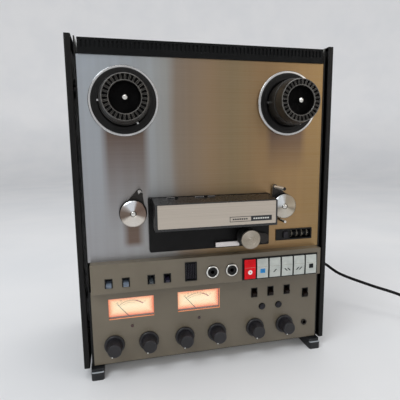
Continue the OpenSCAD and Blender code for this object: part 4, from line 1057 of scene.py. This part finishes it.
# ---------------------------------------------------------------- meters and counter

METER_MARKS = (("20", -40), ("10", -28), ("7", -19.5), ("5", -11.5), ("3", -2.5), ("0", 14), ("3", 40))
RED_FROM = 14
METER_SWEEP = 40
DIAL_RISE = 23


def meter(side):
    """Housing with a painted glow on the linings round the dial, lit dial with its printed scale, and a
    clear window.
    """
    x, needle_h = needle_axis(side)
    height = needle_h + DIAL_RISE
    front, face, inner, back = 6.1, 14, 31, 34

    def plate(shape, x0, x1, h0, h1, depths, material, soft=0.3, steps=2):
        near, far = depths
        shape.slab(spot(x + x0, near, height + h0), spot(x + x1, far, height + h1), material, soft, steps)

    shell = Shape()
    for x0 in (-42, 39.5):
        plate(shell, x0, x0 + 2.5, -30, 22, (front, back), SHELL, 0.4)
    for h0 in (-30, 19.5):
        plate(shell, -39.5, 39.5, h0, h0 + 2.5, (front, back), SHELL)
    plate(shell, -39.6, 39.6, -27.6, 19.6, (inner, back), SHELL)
    # Painted glow: thin linings round the dial, lit as if by the meter's lamp
    for edges in ((-39.2, -38.4, -18.6, 19), (38.4, 39.2, -18.6, 19), (-39.4, 39.4, -21.4, -18.3),
                  (-39.4, 39.4, 18.2, 21.4)):
        plate(shell, *edges, (front, face + 0.2), SHELL_PAINTED_GLOW, 0.1, 1)
    shell.finish(side + "_meter_shell", "deck", "meter_shell", *(["vu_meters"] if side == "left" else []))

    dial = Shape()
    plate(dial, -39, 39, -19, 19, (face, face + 6), DIAL)
    dial.finish(side + "_meter_dial", "deck", "meter_shell")

    marks = Shape()
    centre = on_front(x, face - 0.02, needle_h)
    band(marks, centre, (31.0, 31.5), (-METER_SWEEP, RED_FROM), INK_BROWN, 30)
    band(marks, centre, (30.6, 32.0), (RED_FROM, METER_SWEEP), INK_RED, 16)
    for i in range(17):
        angle = -METER_SWEEP + i * 2 * METER_SWEEP / 16
        ink = INK_RED if angle > RED_FROM else INK_BROWN
        bar_mark(marks, centre, angle, 31.4, 33.4 if i % 2 else 34.4, 0.35, ink)
    for text, angle in METER_MARKS:
        ink = INK_RED if angle > RED_FROM else INK_BROWN
        where = centre @ spin(-angle, "Z") @ Matrix.Translation((0, 36.6, 0.05))
        marks.numeral(text, 3.4, where, ink)
    band(marks, centre, (27.8, 28.1), (-METER_SWEEP, RED_FROM), INK_BROWN, 30)
    marks.finish(side + "_meter_scale", "deck", "meter_shell")

    window = Shape()
    plate(window, -41, 41, -21.5, 21.5, (front - 1.05, front - 0.05), GLASS, 0.15, 1)
    window.finish(side + "_meter_window", "deck", "meter_shell")


def needle_axis(side):
    """Middle of a needle's hub: the pin is its only part behind depth 16.5."""
    mesh = NODES[side + "_needle"].data
    pin = [v.co / MM for v in mesh.vertices if v.co.y / MM - FRONT > 16.5]
    lo = Vector(map(min, *pin))
    hi = Vector(map(max, *pin))
    return (lo.x + hi.x) / 2, (lo.z + hi.z) / 2 - BASE


def needle(side):
    """Thin pointer with a round hub and a counterweight, at its rest stop."""
    x, height = needle_axis(side)
    turn = Matrix.Translation(spot(x, 0, height)) @ spin(-METER_SWEEP, "Y") @ FACING
    shape = Shape()
    outline = [(-0.5, -4), (0.5, -4), (0.7, 0), (0.22, 36), (-0.22, 36), (-0.7, 0)]
    shape.prism(outline, -10.7, -10.1, INK_BLACK, turn)
    axis = spot(x, 0, height)
    hub = [(0, FRONT + 9.5), (1.8, FRONT + 9.5), (2.5, FRONT + 10.1), (2.5, FRONT + 12), (0, FRONT + 12)]
    shape.lathe(axis, hub, TRIM, 0.2, 32)
    shape.lathe(axis, [(0.8, FRONT + 11.9), (0.8, FRONT + 17)], STEEL, 0, 16)
    shape.finish(side + "_pointer", side + "_needle", "needle_black", side + "_needle")


def counter():
    """Four number wheels on one axle."""
    name = "counter_wheels"
    lo, hi = box(name)
    axis = middle(name)
    radius = (hi.z - lo.z) / 2
    wheels, first, last = 4, 150, 191
    pitch = (last - first) / wheels
    shape = Shape()
    for i in range(wheels):
        start = first + i * pitch
        rim = [(1, start), (radius - 0.9, start), (radius - 0.5, start + 0.4),
               (radius - 0.5, start + pitch - 1.4), (radius - 0.9, start + pitch - 1),
               (1, start + pitch - 1)]
        shape.lathe(axis, rim, KEY_WELL, 0.1, 60, along="x")
        for digit in range(10):
            there = Matrix.Translation((start + (pitch - 1) / 2, axis.y, axis.z))
            round_wheel = there @ spin(36 * digit, "X")
            turn = round_wheel @ Matrix.Translation((0, -radius + 0.3, 0)) @ FACING
            shape.numeral(str((digit + 3 * i) % 10 if i else digit), 5.6, turn, INK_FAINT, 0.3)
    shape.lathe(axis, rod(1, lo.x, hi.x), STEEL, 0, 16, along="x")
    shape.finish("counter_number_wheels", name, "wheel_white", name)


# ---------------------------------------------------------------- cord and fasteners

def smooth_path(knots):
    """Points on a Catmull-Rom curve from the second knot to the last but one."""
    steps = 12
    path = []
    for a, b, c, d in zip(knots, knots[1:], knots[2:], knots[3:]):
        a, b, c, d = (Vector(p) for p in (a, b, c, d))
        for i in range(steps):
            t = i / steps
            square, cube = 2 * a - 5 * b + 4 * c - d, 3 * b - a - 3 * c + d
            path.append((2 * b + (c - a) * t + square * t * t + cube * t ** 3) / 2)
    return path + [Vector(knots[-2])]


def power_cord():
    """Cord that leaves the rear through a strain relief and falls past the right side to a plug."""
    radius = 3.3
    plug_turn = math.radians(-80)
    way = Vector((math.cos(plug_turn), math.sin(plug_turn), 0))
    plug_at = Vector((526, -186, radius + 5))
    knots = [(188, 83, 161), (175, 113, 168.5), (188, 148, 161), (232, 158, 141), (290, 126, 117),
             (336, 80, 98), (364, 45, 77), (410, -5, 62.5), (449, -55, 54), (481, -94, 36),
             (505, -130, 16), (518, -160, 8.5), plug_at + 2 * way, plug_at + 40 * way]
    shape = Shape()
    shape.sweep(smooth_path(knots), radius, CORD, 20)
    rear = FRONT + REAR
    grommet = [(0, rear - 6), (6.5, rear - 6), (6.5, rear), (9, rear), (9, rear + 1.5), (8.5, rear + 2),
               (6.6, rear + 2.2)]
    for i in range(4):
        r, there = 6.5 - 0.35 * i, rear + 3.2 + 3.4 * i
        grommet += [(r - 0.7, there), (r - 0.7, there + 0.9), (r, there + 1.1), (r - 0.1, there + 2.8)]
    grommet += [(5, rear + 17.6), (4.8, rear + 18), (3.9, rear + 18), (3.9, rear + 8)]
    shape.lathe(Vector((175, 0, BASE + 150)), grommet, CORD, 0.2, 48)
    stand = Matrix.Translation(plug_at) @ Matrix.Rotation(plug_turn, 4, "Z")
    plug_side = [(3.6, 7), (3.6, 0.2), (5, 0), (5.4, 0.8), (6.6, 14)]
    for i in range(5):
        r, there = 6.7 + 0.3 * i, 15 + 3.6 * i
        plug_side += [(r, there), (r + 0.15, there + 2.2), (r - 0.5, there + 2.5), (r - 0.5, there + 3.2)]
    plug_side += [(8.3, 34.5), (8.3, 40.4), (7.7, 41), (0, 41)]
    shape.lathe(Vector((0, 0, 0)), plug_side, CORD, 0.15, 48, along="x", turn=stand)
    for side in (-6, 6):
        pin = [(0, 41), (2, 41), (2, 58.6), (1.2, 60.1), (0, 60.1)]
        shape.lathe(Vector((0, side, 0)), pin, CHROME, 0.4, 24, along="x", turn=stand)
    shape.finish("power_cord_and_plug", "deck", "cord_black", "power_cord")


def revolve(bm, profile, segments):
    """Turns (radius, height) places about the vertical through zero, and gives the rings of points."""
    turns = [2 * math.pi * i / segments for i in range(segments)]
    rings = [[bm.verts.new((r * math.cos(a), r * math.sin(a), z)) for a in turns] for r, z in profile]
    for one, two in zip(rings, rings[1:]):
        for i in range(segments):
            j = (i + 1) % segments
            bm.faces.new((one[i], one[j], two[j], two[i]))
    return rings


def screw_head(radius, tall):
    """Mesh of a domed head with a cross recess, on the plane z = 0 and facing up."""
    dome = bmesh.new()
    profile = [(1, 0), (1, 0.25), (0.9, 0.62), (0.66, 0.9), (0.3, 1)]
    rings = revolve(dome, [(radius * r, tall * h) for r, h in profile], 32)
    dome.faces.new(rings[-1])
    dome.faces.new(rings[0][::-1])
    cross = bmesh.new()
    half, deep = radius * 0.52, tall * 0.55
    for long, wide in ((half, radius * 0.13), (radius * 0.13, half)):
        stand = Matrix.Translation((0, 0, tall)) @ Matrix.Diagonal((2 * long, 2 * wide, 2 * deep, 1))
        bmesh.ops.create_cube(cross, size=1, matrix=stand)
    return cut_away(dome, cross)


def fasteners():
    """Side and rear screws, the transformer's nuts and the board's screws."""
    shape = Shape()
    side_head, rear_head, board_head = screw_head(4.5, 1.6), screw_head(3.8, 1.6), screw_head(3, 2)
    case_half = box("side_panels")[1].x
    turns = 0

    def set_screw(mesh, stand):
        nonlocal turns
        turns += 1
        shape.add(mesh.copy(), SCREW, stand @ Matrix.Rotation(turns * 0.7, 4, "Z"))

    for way in (-1, 1):
        for depth in (40, 180):
            for height in (60, 470):
                there = spot(way * case_half, depth, height)
                set_screw(side_head, Matrix.Translation(there) @ spin(way * 90, "Y"))
                shank = rod(2, *sorted((way * case_half, way * (case_half - 13))))
                shape.lathe(Vector((0, there.y, there.z)), shank, SCREW, 0, 16, along="x")
        for height in (20, 255, 490):
            there = spot(way * 201, REAR, height)
            set_screw(rear_head, Matrix.Translation(there) @ spin(-90, "X"))
            shape.lathe(there, rod(1.8, there.y - 2, there.y), SCREW, 0, 16)
    for x in (100, 180):
        here = spot(x, 135, 4.5)
        outline = [(4.5 * math.cos(math.pi * k / 3), 4.5 * math.sin(math.pi * k / 3)) for k in range(6)]
        shape.prism(outline, 0, 3, SCREW, Matrix.Translation(here), soft=0.4)
    for x in (-180, 50):
        for depth in (55, 190):
            set_screw(board_head, Matrix.Translation(spot(x, depth, 15.6)))
    for mesh in (side_head, rear_head, board_head):
        bpy.data.meshes.remove(mesh)
    shape.finish("screws_and_nuts", "deck", "screw_steel", "fasteners")


def phono_insulators():
    """Coloured rings round the rear phono sockets: one pair in, one pair out."""
    shape = Shape()
    for x, tint in ((-150, INSULATOR_WHITE), (-130, INSULATOR_RED),
                    (-100, INSULATOR_WHITE), (-80, INSULATOR_RED)):
        axis = spot(x, 0, 60)
        rear = FRONT + REAR + 1.2
        ring = [(4.25, rear), (6.2, rear), (6.2, rear + 0.8), (5.6, rear + 1.2), (4.25, rear + 1.2),
                (4.25, rear)]
        shape.lathe(axis, ring, tint, 0.1, 40)
    shape.finish("phono_socket_rings", "deck", "socket_metal")


# ---------------------------------------------------------------- stage

def backdrop():
    """Plain pale ground that curves up into a low round wall, out of sight of the deck on every side."""
    flat, bend, top = 4.0, 2.0, 4.0
    turns = [math.pi * k / 32 for k in range(17)]
    profile = [(flat + bend * math.sin(a), bend * (1 - math.cos(a))) for a in turns]
    profile.append((flat + bend, top))
    bm = bmesh.new()
    bm.faces.new(revolve(bm, profile, 96)[0][::-1])
    bmesh.ops.reverse_faces(bm, faces=bm.faces)
    mesh = bpy.data.meshes.new("backdrop")
    bm.to_mesh(mesh)
    bm.free()
    mesh.shade_smooth()
    ground = bpy.data.objects.new("backdrop", mesh)
    bpy.context.scene.collection.objects.link(ground)
    material, tree, shader = new_material("backdrop_pale")
    cloud = noise(tree, place(tree), 2.5, 3)
    pale = mix(tree, spread(tree, cloud, 0, 1), rgb("dcdddf"), rgb("e2e2e3"))
    plug(tree, shader.inputs["Base Color"], pale)
    shader.inputs["Roughness"].default_value = 0.95
    shader.inputs["Emission Color"].default_value = rgb("f6f5f4")
    height = axes(tree, place(tree))[2]
    plug(tree, shader.inputs["Emission Strength"], spread(tree, height, 0.05, 0.21, 0.0, 0.9))
    mesh.materials.append(material)


def area_light(name, where, size, power, colour, aim):
    lamp = bpy.data.lights.new(name, "AREA")
    lamp.shape = "RECTANGLE"
    lamp.size, lamp.size_y = size
    lamp.energy = power
    lamp.color = colour
    holder = bpy.data.objects.new(name, lamp)
    holder.location = where
    holder.rotation_euler = (Vector(aim) - Vector(where)).to_track_quat("-Z", "Y").to_euler()
    bpy.context.scene.collection.objects.link(holder)


def studio():
    backdrop()
    bpy.context.scene.view_settings.view_transform = "Standard"
    world = bpy.data.worlds.new("studio")
    bpy.context.scene.world = world
    world.use_nodes = True
    back = world.node_tree.nodes["Background"]
    back.inputs["Color"].default_value = rgb("e4e6e9")
    back.inputs["Strength"].default_value = 0.62
    area_light("window_key", (-1.5, -1.3, 2.6), (1.4, 1.4), 34, (0.93, 0.97, 1.0), (0, 0, 0.25))
    area_light("warm_fill", (1.8, -1.7, 1.1), (1.4, 1.4), 6, (1.0, 0.88, 0.74), (0, 0, 0.25))
    area_light("top_soft", (0.2, 0.0, 2.9), (2.0, 2.0), 22, (1.0, 0.99, 0.97), (0, 0, 0.2))


def camera():
    """Close camera to the left of the middle, looking a little down and to the right."""
    lens = bpy.data.cameras.new("camera")
    lens.sensor_width = 36
    lens.lens = 33.26
    lens.shift_y = 0.0075
    lens.clip_start = 0.02
    holder = bpy.data.objects.new("camera", lens)
    ahead = Vector((0.22307, 0.96366, -0.14697)).normalized()
    up = Vector((0.04582, 0.14024, 0.98906))
    right = ahead.cross(up).normalized()
    up = right.cross(ahead)
    turn = Matrix((right, up, -ahead)).transposed().to_4x4()
    holder.matrix_world = Matrix.Translation((-0.15898, -0.71775, 0.38307)) @ turn
    bpy.context.scene.collection.objects.link(holder)
    bpy.context.scene.camera = holder


# ---------------------------------------------------------------- build

dress_case()
dress_works()
for side in ("supply", "takeup"):
    reel_table(side)
    hub_lock(side)
    guide_roller(side)
    tension_arm(side)
pinch_roller()
head_cover()
for name in BUTTONS:
    transport_button(name)
power_rocker()
switches()
trims()
panel_marks([level_knob(name) for name in KNOBS])
for side in ("left", "right"):
    meter(side)
    needle(side)
counter()
power_cord()
fasteners()
phono_insulators()
studio()
camera()
